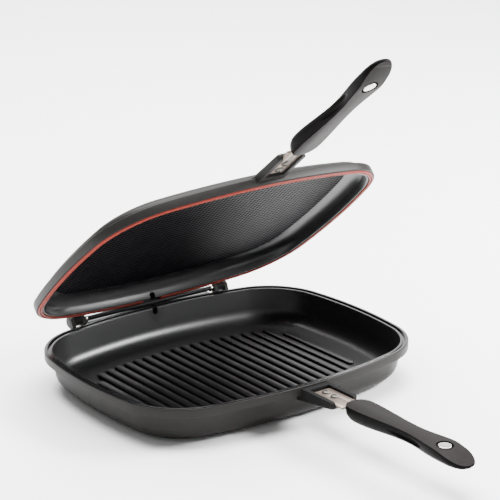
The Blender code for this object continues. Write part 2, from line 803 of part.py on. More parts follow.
def grip_ring(half, width_share, depth_share):
    """One ring of the grip's shell, between its mating face and its spine."""
    middle = GRIP_LENGTH / 2
    shorten = (1 - width_share) * GRIP_TAIL_WIDTH / GRIP_LENGTH
    points = []
    for back in grip_stations():
        y = GRIP_START_Y - middle + (middle - back) * (1 - shorten)
        z = height(f"{half}_grip", depth_share * grip_depth(back))
        points.append((grip_half_width(back) * width_share, y, z))
    left = [(-x, y, z) for x, y, z in reversed(points[1:-1])]
    return points + left


def grip_scoops(half):
    """Cutter of the oval finger scoops on both sides of the neck."""
    neck = GRIP_LENGTH * GRIP_STATION_SHARES[1]
    z = height(f"{half}_grip", GRIP_DEPTH_NECK * SCOOP_DROP_SHARE)
    x = GRIP_NECK_WIDTH / 2 + SCOOP_REACH - SCOOP_BITE
    bm = bmesh.new()
    for side in (-1, 1):
        place = Matrix.Translation((side * x, GRIP_START_Y - neck, z))
        shape = Matrix.Diagonal((SCOOP_REACH, SCOOP_LENGTH / 2, SCOOP_HEIGHT / 2, 1.0))
        bmesh.ops.create_uvsphere(
            bm, u_segments=SCREW_STEPS, v_segments=KNUCKLE_STEPS // 2, radius=1.0,
            matrix=place @ shape)
    return bm


def grip_socket(half):
    """Cutter of the slot that takes the strap's tongue."""
    half_width = TONGUE_WIDTH / 2 + SEAT_FIT
    inner = GRIP_START_Y - TONGUE_LENGTH - SEAT_FIT
    plan = box_points(half_width, inner, GRIP_START_Y + OVERRUN)
    far = TONGUE_DEPTH + STRAP_THICKNESS + SEAT_FIT
    return slab(f"{half}_grip", plan, TONGUE_DEPTH - SEAT_FIT, far)


def grip_screw_seat():
    """Depth at which the grip screw's head bears on the grip."""
    return GRIP_DEPTH_ROOT - GRIP_SCREW_SINK - GRIP_SCREW_HEAD_HEIGHT


def grip_screw_way(half):
    """Cutter of the grip screw's hole and counterbore."""
    hole = SCREW_SHANK / 2 + SEAT_FIT
    bore = GRIP_SCREW_HEAD / 2 + COUNTERBORE_FIT
    seat = grip_screw_seat()
    sections = [
        (hole, TONGUE_DEPTH),
        (hole, seat),
        (bore, seat),
        (bore, GRIP_DEPTH_ROOT + OVERRUN),
    ]
    return lofted(upright(f"{half}_grip", GRIP_START_Y - GRIP_SCREW_BACK, sections, SCREW_STEPS))


def magnet_recess(half):
    """Cutter of the magnet's round seat in the mating face."""
    radius = MAGNET_RECESS / 2
    sections = [(radius, -OVERRUN), (radius, MAGNET_SINK + MAGNET_THICKNESS + SEAT_FIT)]
    return lofted(upright(f"{half}_grip", GRIP_START_Y - MAGNET_BACK, sections, ROUND_STEPS))


def make_grip(half, finish, pivot):
    """A moulded grip: flat mating face, rounded spine, neck with finger scoops."""
    shell = lofted([grip_ring(half, *shares) for shares in GRIP_SHELL_SHARES])
    grip = mesh_object(f"{half}_grip", shell, finish, pivot)
    cut = {
        "scoops": grip_scoops(half),
        "socket": grip_socket(half),
        "screw_way": grip_screw_way(half),
        "recess": magnet_recess(half),
    }
    for title, bm in cut.items():
        combine(grip, tool_object(f"{half}_{title}_guide", bm, pivot), "DIFFERENCE")


def make_grip_screw(half, finish, pivot):
    """The screw from the grip's spine into the strap's tongue."""
    seat = grip_screw_seat() + SEAT_FIT
    outer = seat + GRIP_SCREW_HEAD_HEIGHT
    sections = [
        (SCREW_SHANK / 2 - ARM_EDGE, TONGUE_DEPTH + SEAT_FIT),
        (SCREW_SHANK / 2, TONGUE_DEPTH + SEAT_FIT + ARM_EDGE),
        (SCREW_SHANK / 2, seat),
        (GRIP_SCREW_HEAD / 2, seat),
        (GRIP_SCREW_HEAD / 2, outer - ARM_EDGE),
        (GRIP_SCREW_HEAD / 2 - ARM_EDGE, outer),
    ]
    rings = upright(f"{half}_grip", GRIP_START_Y - GRIP_SCREW_BACK, sections, SCREW_STEPS)
    mesh_object(f"{half}_grip_screw", lofted(rings), finish, pivot)


def make_magnet(half, finish, pivot):
    """The round magnet in the grip's mating face."""
    back = MAGNET_SINK + MAGNET_THICKNESS
    sections = [
        (MAGNET_DIAMETER / 2 - MAGNET_BEVEL, MAGNET_SINK),
        (MAGNET_DIAMETER / 2, MAGNET_SINK + MAGNET_BEVEL),
        (MAGNET_DIAMETER / 2, back),
    ]
    rings = upright(f"{half}_grip", GRIP_START_Y - MAGNET_BACK, sections, ROUND_STEPS)
    mesh_object(f"{half}_magnet", lofted(rings), finish, pivot)


def make_handle(half, finishes, pivot=None):
    """Strap, screws, grip, grip screw and magnet of one pan."""
    make_strap(half, finishes["strap"], pivot)
    for number, y in enumerate(screw_places(), start=1):
        make_strap_screw(half, number, y, finishes["screw"], pivot)
    make_grip(half, finishes["grip"], pivot)
    make_grip_screw(half, finishes["screw"], pivot)
    make_magnet(half, finishes["magnet"], pivot)


def lid_pivot():
    """Empty on the hinge axis that turns the upper pan open."""
    pivot = bpy.data.objects.new("lid_pivot", None)
    bpy.context.collection.objects.link(pivot)
    pivot.location = (0.0, AXIS_Y, AXIS_Z)
    pivot.rotation_euler = (-OPEN_ANGLE, 0.0, 0.0)
    return pivot


def main():
    """Model the whole pan."""
    clear_scene()
    finishes = {
        "pan": material("grey_coated_aluminium", (0.105, 0.104, 0.100), 0.45, 0.25),
        "seal": material("red_silicone", (0.42, 0.045, 0.035), 0.5, 0.0),
        "grip": material("black_phenolic", (0.045, 0.042, 0.041), 0.45, 0.0),
        "strap": material("brushed_steel", (0.58, 0.53, 0.50), 0.35, 1.0),
        "screw": material("zinc_plated_steel", (0.50, 0.48, 0.45), 0.3, 1.0),
        "magnet": material("nickel_plated_magnet", (0.55, 0.54, 0.51), 0.25, 1.0),
        "pin": material("chromed_steel", (0.60, 0.60, 0.60), 0.15, 1.0),
    }
    pivot = lid_pivot()
    make_lower_pan(finishes["pan"])
    make_handle("lower", finishes)
    for side, title in ((-1, "left"), (1, "right")):
        make_pin(side, f"hinge_pin_{title}", finishes["pin"])
        make_pin_cap(side, f"hinge_pin_cap_{title}", finishes["pin"])
    make_upper_pan(finishes["pan"], pivot)
    make_seal(finishes["seal"], pivot)
    make_handle("upper", finishes, pivot)


main()
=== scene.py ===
"""Double sided flip pan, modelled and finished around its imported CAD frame.

The file is laid out as an add-on and is run as a script. Lengths are metres, +X runs
along the hinges, -Y along the handles and +Z up, and the origin lies under the middle of
the lower pan. What rides on the upper pan is modelled closed and is then turned open.
"""
import math

import bmesh
import bpy
from bpy.props import FloatProperty, FloatVectorProperty, PointerProperty
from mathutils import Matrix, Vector


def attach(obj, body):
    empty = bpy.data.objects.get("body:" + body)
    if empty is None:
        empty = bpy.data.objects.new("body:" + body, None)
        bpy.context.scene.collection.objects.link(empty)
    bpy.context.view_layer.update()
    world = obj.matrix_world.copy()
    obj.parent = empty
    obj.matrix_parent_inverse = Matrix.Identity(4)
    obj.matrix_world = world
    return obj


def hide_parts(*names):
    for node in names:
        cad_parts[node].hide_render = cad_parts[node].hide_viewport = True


bl_info = {
    "name": "Double sided flip pan",
    "version": (1, 0, 0),
    "blender": (4, 5, 0),
    "location": "View3D > Sidebar > Flip pan",
    "description": "Models a hinged double sided frying pan with a red silicone seal",
    "category": "Add Mesh",
}

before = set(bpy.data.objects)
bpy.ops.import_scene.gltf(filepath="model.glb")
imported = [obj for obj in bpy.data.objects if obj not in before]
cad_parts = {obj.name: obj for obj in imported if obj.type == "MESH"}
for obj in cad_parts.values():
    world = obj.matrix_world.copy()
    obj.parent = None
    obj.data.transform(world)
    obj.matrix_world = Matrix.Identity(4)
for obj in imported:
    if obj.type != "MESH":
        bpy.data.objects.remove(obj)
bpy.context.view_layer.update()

# Rim outline: four bowed sides joined by four corner arcs
LONG_SIDE_BOW = 0.0286
SHORT_SIDE_BOW = 0.022
LONG_STEPS = 7
CORNER_STEPS = 16
SHORT_STEPS = 5

# Flanges of both pans
RIM_BAND = 0.0083
RIM_GAP = 0.0024
OVERHANGS = {"lower": 0.0048, "upper": 0.0072}
FLANGE_ROOT_ROUNDS = {"lower": 0.0012, "upper": 0.0004}
FLANGE_EDGE_ROUNDS = {"lower": 0.0005, "upper": 0.0010}
RIM_ROUNDS = {"lower": 0.0010, "upper": 0.0009}
GROOVE_ROUND = 0.0003
LIP_ROUND = 0.0007

# Section of the lower pan
RIM_LAND = 0.0032
GROOVE_WIDTH = 0.0022
GROOVE_DEPTH = 0.0022
LIP_WIDTH = 0.0026
LIP_DROP = 0.0010
OPENING_INSET = RIM_LAND + GROOVE_WIDTH + LIP_WIDTH
WALL = 0.0033
FLOOR = 0.0053
WALL_DRAFT = 0.0050
BASE_RUN = 0.021
BASE_RISE = 0.017
INNER_SHOULDER = 0.0210
INNER_SLOPE = math.radians(12.0)
CURVE_STEPS = 14

# Section of the upper pan
LID_LAND = 0.0017
CHANNEL_WIDTH = 0.0048
CHANNEL_DEPTH = 0.0036
LID_LIP_WIDTH = 0.0017
LID_FLOOR = 0.0036
LID_SHOULDER = 0.005
LID_INNER_DRAFT = 0.0016
LID_INNER_RUN = 0.020
LID_OUTER_STEP = 0.0009
LID_OUTER_RUN = 0.020

# Ribs, seal and vent
RIB_FIELD_INSET = 0.047
RIB_SINK = 0.0006
RIB_EDGE = 0.0008
RIB_END_SHARE = 0.499
SEAL_FIT = 0.0003
SEAL_SPLIT = 0.0009
SEAL_SPLIT_DEPTH = 0.0016
SEAL_SPLIT_ROUND = 0.0007
SEAL_EDGE_ROUND = 0.0008
SEAL_VENT_GAP = 0.0215
VENT_WIDTH = 0.006
VENT_STEPS = 16
VENT_DEPTHS = {"lower": 0.0075, "upper": 0.006}
VENT_END_WALLS = {"lower": 0.0022, "upper": LID_LAND}

# Hinges
HINGE_SPACING = 0.0875
HINGE_BACK = 0.0022
HINGE_RISE = 0.0012
KNUCKLE_RADIUS = 0.0055
KNUCKLE_STEPS = 32
LID_KNUCKLE_WIDTH = 0.0075
EAR_WIDTH = 0.0042
EAR_GAP = 0.0005
PIN_RADIUS = 0.0025
PIN_FIT = 0.0003
PIN_HEAD_RADIUS = 0.0037
PIN_HEAD_THICKNESS = 0.0012
CAP_RADIUS = 0.0041
CAP_LENGTH = 0.0034
CAP_WALL = 0.0011
CAP_MOUTH_ROUND = 0.0003
CAP_END_ROUND = 0.0011
ARM_ROOT = 0.12103
ARM_RISE_BACK = 0.0055
ARM_EDGE = 0.0005
LEDGE_TOP_DROP = 0.0019
LEDGE_INSET = 0.0028
LEDGE_BACK = 0.0045
LEDGE_END_GAP = 0.0010
LEDGE_STEPS = 16
CAST_EDGE = 0.0004

# Handle lugs, straps and screws
LUG_REACH = 0.0425
CHEEK = 0.0044
LUG_TOP_DROP = 0.002
LUG_ROOT_HEIGHTS = {"lower": 0.0145, "upper": 0.0086}
LUG_FEET_IN = {"lower": 0.0031, "upper": 0.0}
LUG_END_HEIGHT = 0.0072
LUG_ROUND = 0.0032
CHANNEL_START = 0.0065
BED_CLEARANCE = 0.0004
HANDLE_DROP = 0.0015
STRAP_WIDTH = 0.021
STRAP_THICKNESS = 0.0022
STRAP_DROP = 0.0042
STRAP_START = 0.0085
STRAP_OUT = 0.0515
STRAP_EDGE = 0.0003
STRAP_SHARP_ANGLE = math.radians(30.0)
TONGUE_WIDTH = 0.014
TONGUE_LENGTH = 0.026
TONGUE_ROUND = 0.004
TONGUE_STEPS = 8
SCREW_FIRST = 0.0155
SCREW_PITCH = 0.0122
SHANK_RADIUS = 0.0020
SCREW_HEAD_RADIUS = 0.0036
SCREW_HEAD_HEIGHT = 0.0018
SCREW_LENGTH = 0.0042
RECESS_WIDTH = 0.0009
RECESS_LENGTH = 0.0042
RECESS_DEPTH = 0.0010
DOME_STEPS = 8

# Grips and magnets
GRIP_LIFT = 0.0004
GRIP_WIDTHS = (0.0265, 0.0180, 0.0270)
GRIP_DEPTHS = (0.0150, 0.0118, 0.0128)
GRIP_STATION_SHARES = (0.10, 0.53, 0.82)
GRIP_ROOT_ROUND = 0.0145
GRIP_TAIL_ROUND = 0.0215
ROOT_POWER = 2.2
TAIL_POWER = 2.3
GRIP_STATIONS = 60
EVEN_SHARE = 0.35
GRIP_SHELL_SHARES = (
    (1.000, 0.00), (1.018, 0.08), (1.028, 0.17), (1.029, 0.27), (1.020, 0.38),
    (1.000, 0.48), (0.962, 0.585), (0.905, 0.69), (0.832, 0.785), (0.740, 0.870),
    (0.630, 0.935), (0.500, 0.977), (0.360, 1.00), (0.180, 1.012),
)
GRIP_EDGE = 0.0005
GRIP_SHARP_ANGLE = math.radians(55.0)
TAIL_BEND = 0.0078
TAIL_BEND_START_SHARE = 0.775
TAIL_BEND_POWER = 1.5
SCOOP_SIZE = (0.009, 0.0255, 0.0053)
SCOOP_BITE = 0.0026
SCOOP_DROP_SHARE = 0.46
GRIP_SCREW_BACK = 0.017
GRIP_SCREW_HEAD = 0.0039
GRIP_SCREW_HEAD_HEIGHT = 0.0022
GRIP_SCREW_SEAT_ROUND = 0.0002
GRIP_SCREW_ROUND = 0.0009
GRIP_SCREW_SINK = 0.0012
GRIP_RECESS_DEPTH = 0.0012
COUNTERBORE_FIT = 0.0005
MAGNET_RADIUS = 0.006
MAGNET_THICKNESS = 0.003
MAGNET_ROUND = 0.0006
MAGNET_RECESS = 0.0076
MAGNET_SINK = 0.0003
MAGNET_BACK = 0.1205

# Shared by all pieces: each half's way from the joint plane, and drops of its planes
AWAY = {"lower": -1, "upper": 1}
PLANE_DROPS = {
    "lower": 0.0, "lower_handle": 0.0, "lower_grip": -GRIP_LIFT,
    "upper": 0.0, "upper_handle": HANDLE_DROP, "upper_grip": HANDLE_DROP - GRIP_LIFT,
}
OVERRUN = 0.002
HAIR = 0.00001
MERGE_DISTANCE = 0.000002
OPEN_ANGLE = math.radians(40.0)
SMOOTH_ANGLE = math.radians(35.0)
PAINT_INSET = 0.0006
PAINT_MARGIN = 0.0002
FLAT_SHARE = 0.9
# Grip faces turned at least this far towards the mate get the lighter phenolic, which is painted
# light
PAINTED_LIGHT_FACE_SHARE = 0.8
CELL_PITCHES = {"X": 0.0050, "Y": 0.0052}
CELL_DEPTH = 0.00022

# Light and camera: name, place, target, size and watts of each light
LIGHTS = (
    ("overhead", (0.3, 0.8, 3.0), (0.0, 0.2, 0.0), (3.0, 3.0), 600.0),
    ("backdrop_glow", (2.3, 3.0, 1.25), (0.0, 0.0, 0.05), (4.0, 1.8), 45.0),
    ("key", (1.25, -0.70, 0.90), (0.0, 0.05, 0.03), (0.75, 0.34), 84.0),
)
STUDIO_SIZE = 16.0
STUDIO_DROP = 0.0005
SKY_STRENGTH = 0.5
CAMERA_PLACE = (-0.9627, -1.3040, 0.6550)
CAMERA_TURN = (math.radians(90 - 17.895), 0.0, math.radians(-37.195))
CAMERA_SENSOR = 36.0
CAMERA_LENS = 129.2


def size_setting(name, description, usual, least, most):
    """A size that is shown in the sidebar."""
    return FloatProperty(name=name, description=description, default=usual, min=least,
                         max=most, subtype="DISTANCE", unit="LENGTH")


class PanSizes(bpy.types.PropertyGroup):
    """Sizes of the pan that a user would change."""

    pan_length: size_setting("Pan length", "Over the rim, along the hinges", 0.332, 0.2, 0.5)
    pan_depth: size_setting("Pan depth", "Over the rim, front to back", 0.266, 0.16, 0.4)
    pan_height: size_setting("Lower pan height", "From base to rim", 0.0387, 0.025, 0.08)
    lid_height: size_setting("Upper pan height", "From rim to back", 0.0193, 0.015, 0.04)
    corner_radius: size_setting("Corner radius", "Of the rim's corners", 0.069, 0.03, 0.1)
    rib_pitch: size_setting("Rib pitch", "From one rib to the next", 0.01185, 0.008, 0.02)
    rib_width: size_setting("Rib width", "Width of one rib", 0.0078, 0.003, 0.012)
    rib_height: size_setting("Rib height", "Height over the floor", 0.0024, 0.001, 0.005)
    seal_proud: size_setting("Seal height", "Height over its channel", 0.0012, 0.0005, 0.003)
    grip_length: size_setting("Grip length", "Length of one grip", 0.1515, 0.1, 0.2)


def linear(code):
    """Linear colour of an sRGB hex value."""
    made = []
    for i in (1, 3, 5):
        share = int(code[i:i + 2], 16) / 255
        made.append(share / 12.92 if share <= 0.04045 else ((share + 0.055) / 1.055) ** 2.4)
    return (*made, 1.0)


def colour_setting(name, description, code):
    """A colour that is shown in the sidebar."""
    return FloatVectorProperty(name=name, description=description, default=linear(code),
                               subtype="COLOR", size=4, min=0.0, max=1.0)


class PanColours(bpy.types.PropertyGroup):
    """Colours of the finishes."""

    lacquer: colour_setting("Outside", "Baked lacquer outside both pans", "#201f1e")
    non_stick: colour_setting("Inside", "Non-stick coating inside both pans", "#121213")
    silicone: colour_setting("Seal", "Silicone of the seal", "#7c3129")
    phenolic: colour_setting("Grips", "Phenolic moulding of the grips", "#090808")
    steel: colour_setting("Straps", "Stainless sheet of the straps", "#94877e")
    nickel: colour_setting("Screws and magnets", "Bright plating", "#d6d2c8")
    # This near black is the blackened steel of the pins and bar, and also the painted shade on the
    # ledge behind the lower rim.
    blackening_and_painted_shade: colour_setting("Hinge bar", "Oil blackened steel", "#161616")


def sizes():
    """The sizes that are set in the scene."""
    return bpy.context.scene.flip_pan_sizes


def colours():
    """The colours that are set in the scene."""
    return bpy.context.scene.flip_pan_colours


# Places of the parts

def axis_place():
    """Depth and height of the hinge axis."""
    return sizes().pan_depth / 2 + HINGE_BACK, sizes().pan_height + HINGE_RISE


def lid_rim():
    """Height of the upper pan's rim when it is closed."""
    return sizes().pan_height + RIM_GAP


def level(plane, depth):
    """Closed height of a point some depth behind a reference plane."""
    half = plane.split("_")[0]
    rim = sizes().pan_height if half == "lower" else lid_rim()
    return rim + AWAY[half] * (PLANE_DROPS[plane] + depth)


def grip_start():
    """Depth coordinate of the grips' roots."""
    return -(sizes().pan_depth / 2 + STRAP_OUT)


def screw_places():
    """Depth coordinates of the two strap screws."""
    first = -(sizes().pan_depth / 2 + SCREW_FIRST)
    return [first, first - SCREW_PITCH]


def ear_spans():
    """Start and end of the lower pan's two ears, outwards from the middle."""
    inner_end = HINGE_SPACING - LID_KNUCKLE_WIDTH / 2 - EAR_GAP
    outer_start = HINGE_SPACING + LID_KNUCKLE_WIDTH / 2 + EAR_GAP
    return (inner_end - EAR_WIDTH, inner_end), (outer_start, outer_start + EAR_WIDTH)


def cap_span():
    """Mouth and closed end of a pin cap, outwards from the middle."""
    (start, _), _ = ear_spans()
    return start - PIN_FIT, start - PIN_FIT - CAP_LENGTH


def outline_arcs():
    """Centres, radii and turns of the outline's arcs in its back right quarter."""
    half_length, half_depth = sizes().pan_length / 2, sizes().pan_depth / 2
    corner_radius = sizes().corner_radius
    long_radius = (half_length ** 2 + LONG_SIDE_BOW ** 2) / (2 * LONG_SIDE_BOW)
    short_radius = (half_depth ** 2 + SHORT_SIDE_BOW ** 2) / (2 * SHORT_SIDE_BOW)
    long_centre = Vector((0.0, half_depth - long_radius))
    short_centre = Vector((half_length - short_radius, 0.0))
    reach = long_radius - corner_radius
    apart = short_centre - long_centre
    span = apart.length
    along = (reach ** 2 - (short_radius - corner_radius) ** 2 + span ** 2) / (2 * span)
    way = apart / span
    square = Vector((-way.y, way.x))
    if square.x + square.y < 0:
        square = -square
    corner = long_centre + along * way + math.sqrt(reach ** 2 - along ** 2) * square
    to_long, to_short = corner - long_centre, corner - short_centre
    long_turn = math.pi / 2 - math.atan2(to_long.y, to_long.x)
    short_turn = math.atan2(to_short.y, to_short.x)
    return {
        "long": (long_centre, long_radius, long_turn),
        "corner": (corner, corner_radius, math.pi / 2 - long_turn - short_turn),
        "short": (short_centre, short_radius, short_turn),
    }


def rim_inset(x, y):
    """How far a point lies inside the rim outline."""
    arcs = outline_arcs()
    point = Vector((abs(x), abs(y)))
    corner = arcs["corner"][0]
    for kind, turned_to in (("long", 1), ("short", -1)):
        centre, radius, _ = arcs[kind]
        to_corner, to_point = corner - centre, point - centre
        if turned_to * (to_corner.x * to_point.y - to_corner.y * to_point.x) >= 0:
            return radius - to_point.length
    return arcs["corner"][1] - (point - corner).length


# Modelling by hand

def deselect():
    """Leave edit mode with nothing selected."""
    if bpy.context.object and bpy.context.object.mode != "OBJECT":
        bpy.ops.object.mode_set(mode="OBJECT")
    bpy.ops.object.select_all(action="DESELECT")


def choose(thing):
    """Make one object the only selected and active one."""
    deselect()
    thing.select_set(True)
    bpy.context.view_layer.objects.active = thing


def apply_places():
    """Put the place, turn and size of what is selected into its mesh."""
    bpy.ops.object.transform_apply(location=True, rotation=True, scale=True)


def edit(thing):
    """Open an object's mesh with all of it selected."""
    choose(thing)
    bpy.ops.object.mode_set(mode="EDIT")
    bpy.ops.mesh.select_mode(type="VERT")
    bpy.ops.mesh.select_all(action="SELECT")


def pick(kind, wanted):
    """Select vertices, edges or faces of the open mesh by a test."""
    bpy.ops.mesh.select_mode(type={"verts": "VERT", "edges": "EDGE", "faces": "FACE"}[kind])
    bpy.ops.mesh.select_all(action="DESELECT")
    mesh = bpy.context.edit_object.data
    grid = bmesh.from_edit_mesh(mesh)
    picked = [part for part in getattr(grid, kind) if wanted(part)]
    for part in picked:
        part.select_set(True)
    bmesh.update_edit_mesh(mesh)
    return len(picked)


def bevel(thing, wanted, offset, segments):
    """Round the edges of an object that a test picks."""
    edit(thing)
    pick("edges", wanted)
    bpy.ops.mesh.bevel(offset=offset, segments=segments)
    deselect()


def draw_line(name, points):
    """A line of extruded points, left open in edit mode with its last point selected."""
    deselect()
    bpy.ops.mesh.primitive_plane_add(size=0.001, location=(0.0, 0.0, 0.0))
    thing = bpy.context.object
    thing.name = name
    edit(thing)
    bpy.ops.mesh.merge(type="CENTER")
    bpy.ops.transform.translate(value=points[0])
    for near, far in zip(points, points[1:]):
        step = Vector(far) - Vector(near)
        bpy.ops.mesh.extrude_vertices_move(TRANSFORM_OT_translate={"value": step})
    return thing


def draw_face(name, points):
    """A flat outline, filled and left open in edit mode."""
    thing = draw_line(name, points)
    bpy.ops.mesh.select_all(action="SELECT")
    bpy.ops.mesh.edge_face_add()
    return thing


def outwards():
    """Merge doubles of the open mesh and point its faces outwards."""
    bpy.ops.mesh.select_mode(type="VERT")
    bpy.ops.mesh.select_all(action="SELECT")
    bpy.ops.mesh.remove_doubles(threshold=MERGE_DISTANCE)
    bpy.ops.mesh.normals_make_consistent(inside=False)


def plate(name, points, thickness):
    """A flat outline, filled and extruded by a vector."""
    thing = draw_face(name, points)
    bpy.ops.mesh.extrude_region_move(TRANSFORM_OT_translate={"value": thickness})
    outwards()
    deselect()
    return thing


def block(name, low, high):
    """A box between two corners."""
    deselect()
    middle = (Vector(low) + Vector(high)) / 2
    bpy.ops.mesh.primitive_cube_add(size=1.0, location=middle, scale=Vector(high) - Vector(low))
    thing = bpy.context.object
    thing.name = name
    apply_places()
    return thing


def turned(name, points, centre, axis, steps):
    """A line of points spun round an axis."""
    thing = draw_line(name, points)
    bpy.ops.mesh.select_all(action="SELECT")
    bpy.ops.mesh.spin(steps=steps, angle=2 * math.pi, center=centre, axis=axis)
    outwards()
    deselect()
    return thing


def upright(name, plane, y, line, steps=40):
    """A form turned about an upright line on the middle, from (radius, depth) pairs."""
    points = [(radius, y, level(plane, depth)) for radius, depth in line]
    return turned(name, points, (0.0, y, 0.0), (0.0, 0.0, 1.0), steps)


def on_hinge(name, line, side=1, steps=40):
    """A form turned about the hinge axis, from (radius, x) pairs of the right side."""
    axis_y, axis_z = axis_place()
    points = [(side * x, axis_y, axis_z + radius) for radius, x in line]
    return turned(name, points, (0.0, axis_y, axis_z), (1.0, 0.0, 0.0), steps)


def modify(thing, kind, **settings):
    """Add a modifier and apply it."""
    choose(thing)
    step = thing.modifiers.new(kind.title(), kind)
    for key, value in settings.items():
        setattr(step, key, value)
    bpy.ops.object.modifier_apply(modifier=step.name)


def weld(target, tool, operation="UNION"):
    """Weld a form to an object and drop the form."""
    modify(target, "BOOLEAN", object=tool, operation=operation, solver="EXACT")
    bpy.data.objects.remove(tool)


def cut(target, tool):
    """Cut a form out of an object and drop the form."""
    weld(target, tool, "DIFFERENCE")


def drill(thing, plane, y, radius, near, far):
    """Drill an upright hole on the middle line from one depth to another."""
    line = [(0.0, near), (radius, near), (radius, far), (0.0, far)]
    cut(thing, upright("drill", plane, y, line, 32))


def pocket(thing, plane, low, high, near, far):
    """Cut a square pocket between two corners, from one depth to another."""
    ends = (level(plane, near), level(plane, far))
    cut(thing, block("pocket", (*low, min(ends)), (*high, max(ends))))


def copy_of(thing, name, offset):
    """A copy with its own mesh, moved aside."""
    choose(thing)
    bpy.ops.object.duplicate()
    made = bpy.context.object
    made.name = name
    bpy.ops.transform.translate(value=offset)
    apply_places()
    return made


def paint(thing, finishes, zones=()):
    """Give an object its materials, the later ones to the faces that their tests pick."""
    thing.data.materials.clear()
    for finish in finishes:
        thing.data.materials.append(finish)
    edit(thing)
    for index, wanted in enumerate(zones, start=1):
        if pick("faces", wanted):
            thing.active_material_index = index
            bpy.ops.object.material_slot_assign()
    deselect()


def hand_over(thing, name, half, nodes):
    """Shade a finished piece, open it with its pan and let it ride on its body."""
    choose(thing)
    apply_places()
    bpy.ops.object.shade_smooth_by_angle(angle=SMOOTH_ANGLE)
    thing.name = name
    thing.data.name = name
    if half == "upper":
        bpy.ops.transform.rotate(
            value=OPEN_ANGLE, orient_axis="X", center_override=(0.0, *axis_place()))
        apply_places()
    deselect()
    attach(thing, half)
    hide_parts(*nodes)


# Sections

def arc(centre, radius, start, end, steps):
    """Points of an arc from one turn to another."""
    turns = [start + (end - start) * i / steps for i in range(steps + 1)]
    return [(centre[0] + radius * math.cos(t), centre[1] + radius * math.sin(t)) for t in turns]


def quarter_curve(inset, depth, run, rise):
    """Quarter ellipse from a steep wall to a flat floor."""
    turns = [math.pi / 2 * i / CURVE_STEPS for i in range(CURVE_STEPS + 1)]
    return [(inset + run * (1 - math.cos(t)), depth + rise * math.sin(t)) for t in turns]


def rounded(corners, steps=4):
    """Points of a line whose corners are rounded by the radius given with each."""
    points = []
    for i, (u, v, radius) in enumerate(corners):
        if radius == 0 or i in (0, len(corners) - 1):
            points.append((u, v))
            continue
        here = Vector((u, v))
        back = (Vector(corners[i - 1][:2]) - here).normalized()
        onward = (Vector(corners[i + 1][:2]) - here).normalized()
        half = back.angle(onward) / 2
        reach = radius / math.tan(half)
        centre = here + (back + onward).normalized() * radius / math.sin(half)
        start = here + back * reach - centre
        sweep = start.angle_signed(here + onward * reach - centre)
        turn = math.atan2(start.y, start.x)
        points += arc(centre, radius, turn, turn - sweep, steps)
    return points


def lower_section():
    """Section of the lower pan from under its base, round the rim, to its floor."""
    height = sizes().pan_height
    overhang = OVERHANGS["lower"]
    outer = quarter_curve(overhang + WALL_DRAFT, height - BASE_RISE, BASE_RUN, BASE_RISE)
    shoulder = OPENING_INSET + (INNER_SHOULDER - LIP_DROP) * math.tan(INNER_SLOPE)
    groove_end = RIM_LAND + GROOVE_WIDTH
    rim = rounded([
        (*outer[0], 0),
        (overhang, RIM_BAND, FLANGE_ROOT_ROUNDS["lower"]),
        (0.0, RIM_BAND, FLANGE_EDGE_ROUNDS["lower"]),
        (0.0, 0.0, RIM_ROUNDS["lower"]),
        (RIM_LAND, 0.0, GROOVE_ROUND),
        (RIM_LAND, GROOVE_DEPTH, 0),
        (groove_end, GROOVE_DEPTH, 0),
        (groove_end, LIP_DROP, GROOVE_ROUND),
        (OPENING_INSET, LIP_DROP, LIP_ROUND),
        (shoulder, INNER_SHOULDER, 0),
    ])
    # The sloping inner wall runs into the floor by one round curve
    radius = (height - INNER_SHOULDER - FLOOR) / (1 - math.sin(INNER_SLOPE))
    centre = (shoulder + radius * math.cos(INNER_SLOPE), height - FLOOR - radius)
    inner = arc(centre, radius, math.pi - INNER_SLOPE, math.pi / 2, CURVE_STEPS)
    return outer[::-1] + rim[1:-1] + inner


def upper_section():
    """Section of the upper pan from its back, round the rim and channel, to its floor."""
    overhang = OVERHANGS["upper"]
    wall_start = RIM_BAND + LID_OUTER_STEP
    rise = sizes().lid_height - wall_start
    outer = quarter_curve(overhang, wall_start, LID_OUTER_RUN, rise)
    channel_end = LID_LAND + CHANNEL_WIDTH
    lip_end = channel_end + LID_LIP_WIDTH
    inner_start = lip_end + LID_INNER_DRAFT
    rim = rounded([
        (*outer[0], 0),
        (overhang, RIM_BAND, FLANGE_ROOT_ROUNDS["upper"]),
        (0.0, RIM_BAND, FLANGE_EDGE_ROUNDS["upper"]),
        (0.0, 0.0, RIM_ROUNDS["upper"]),
        (LID_LAND, 0.0, GROOVE_ROUND),
        (LID_LAND, CHANNEL_DEPTH, 0),
        (channel_end, CHANNEL_DEPTH, 0),
        (channel_end, 0.0, GROOVE_ROUND),
        (lip_end, 0.0, LIP_ROUND),
        (inner_start, LID_SHOULDER, 0),
    ])
    inner_rise = sizes().lid_height - LID_FLOOR - LID_SHOULDER
    inner = quarter_curve(inner_start, LID_SHOULDER, LID_INNER_RUN, inner_rise)
    return outer[::-1] + rim[1:-1] + inner


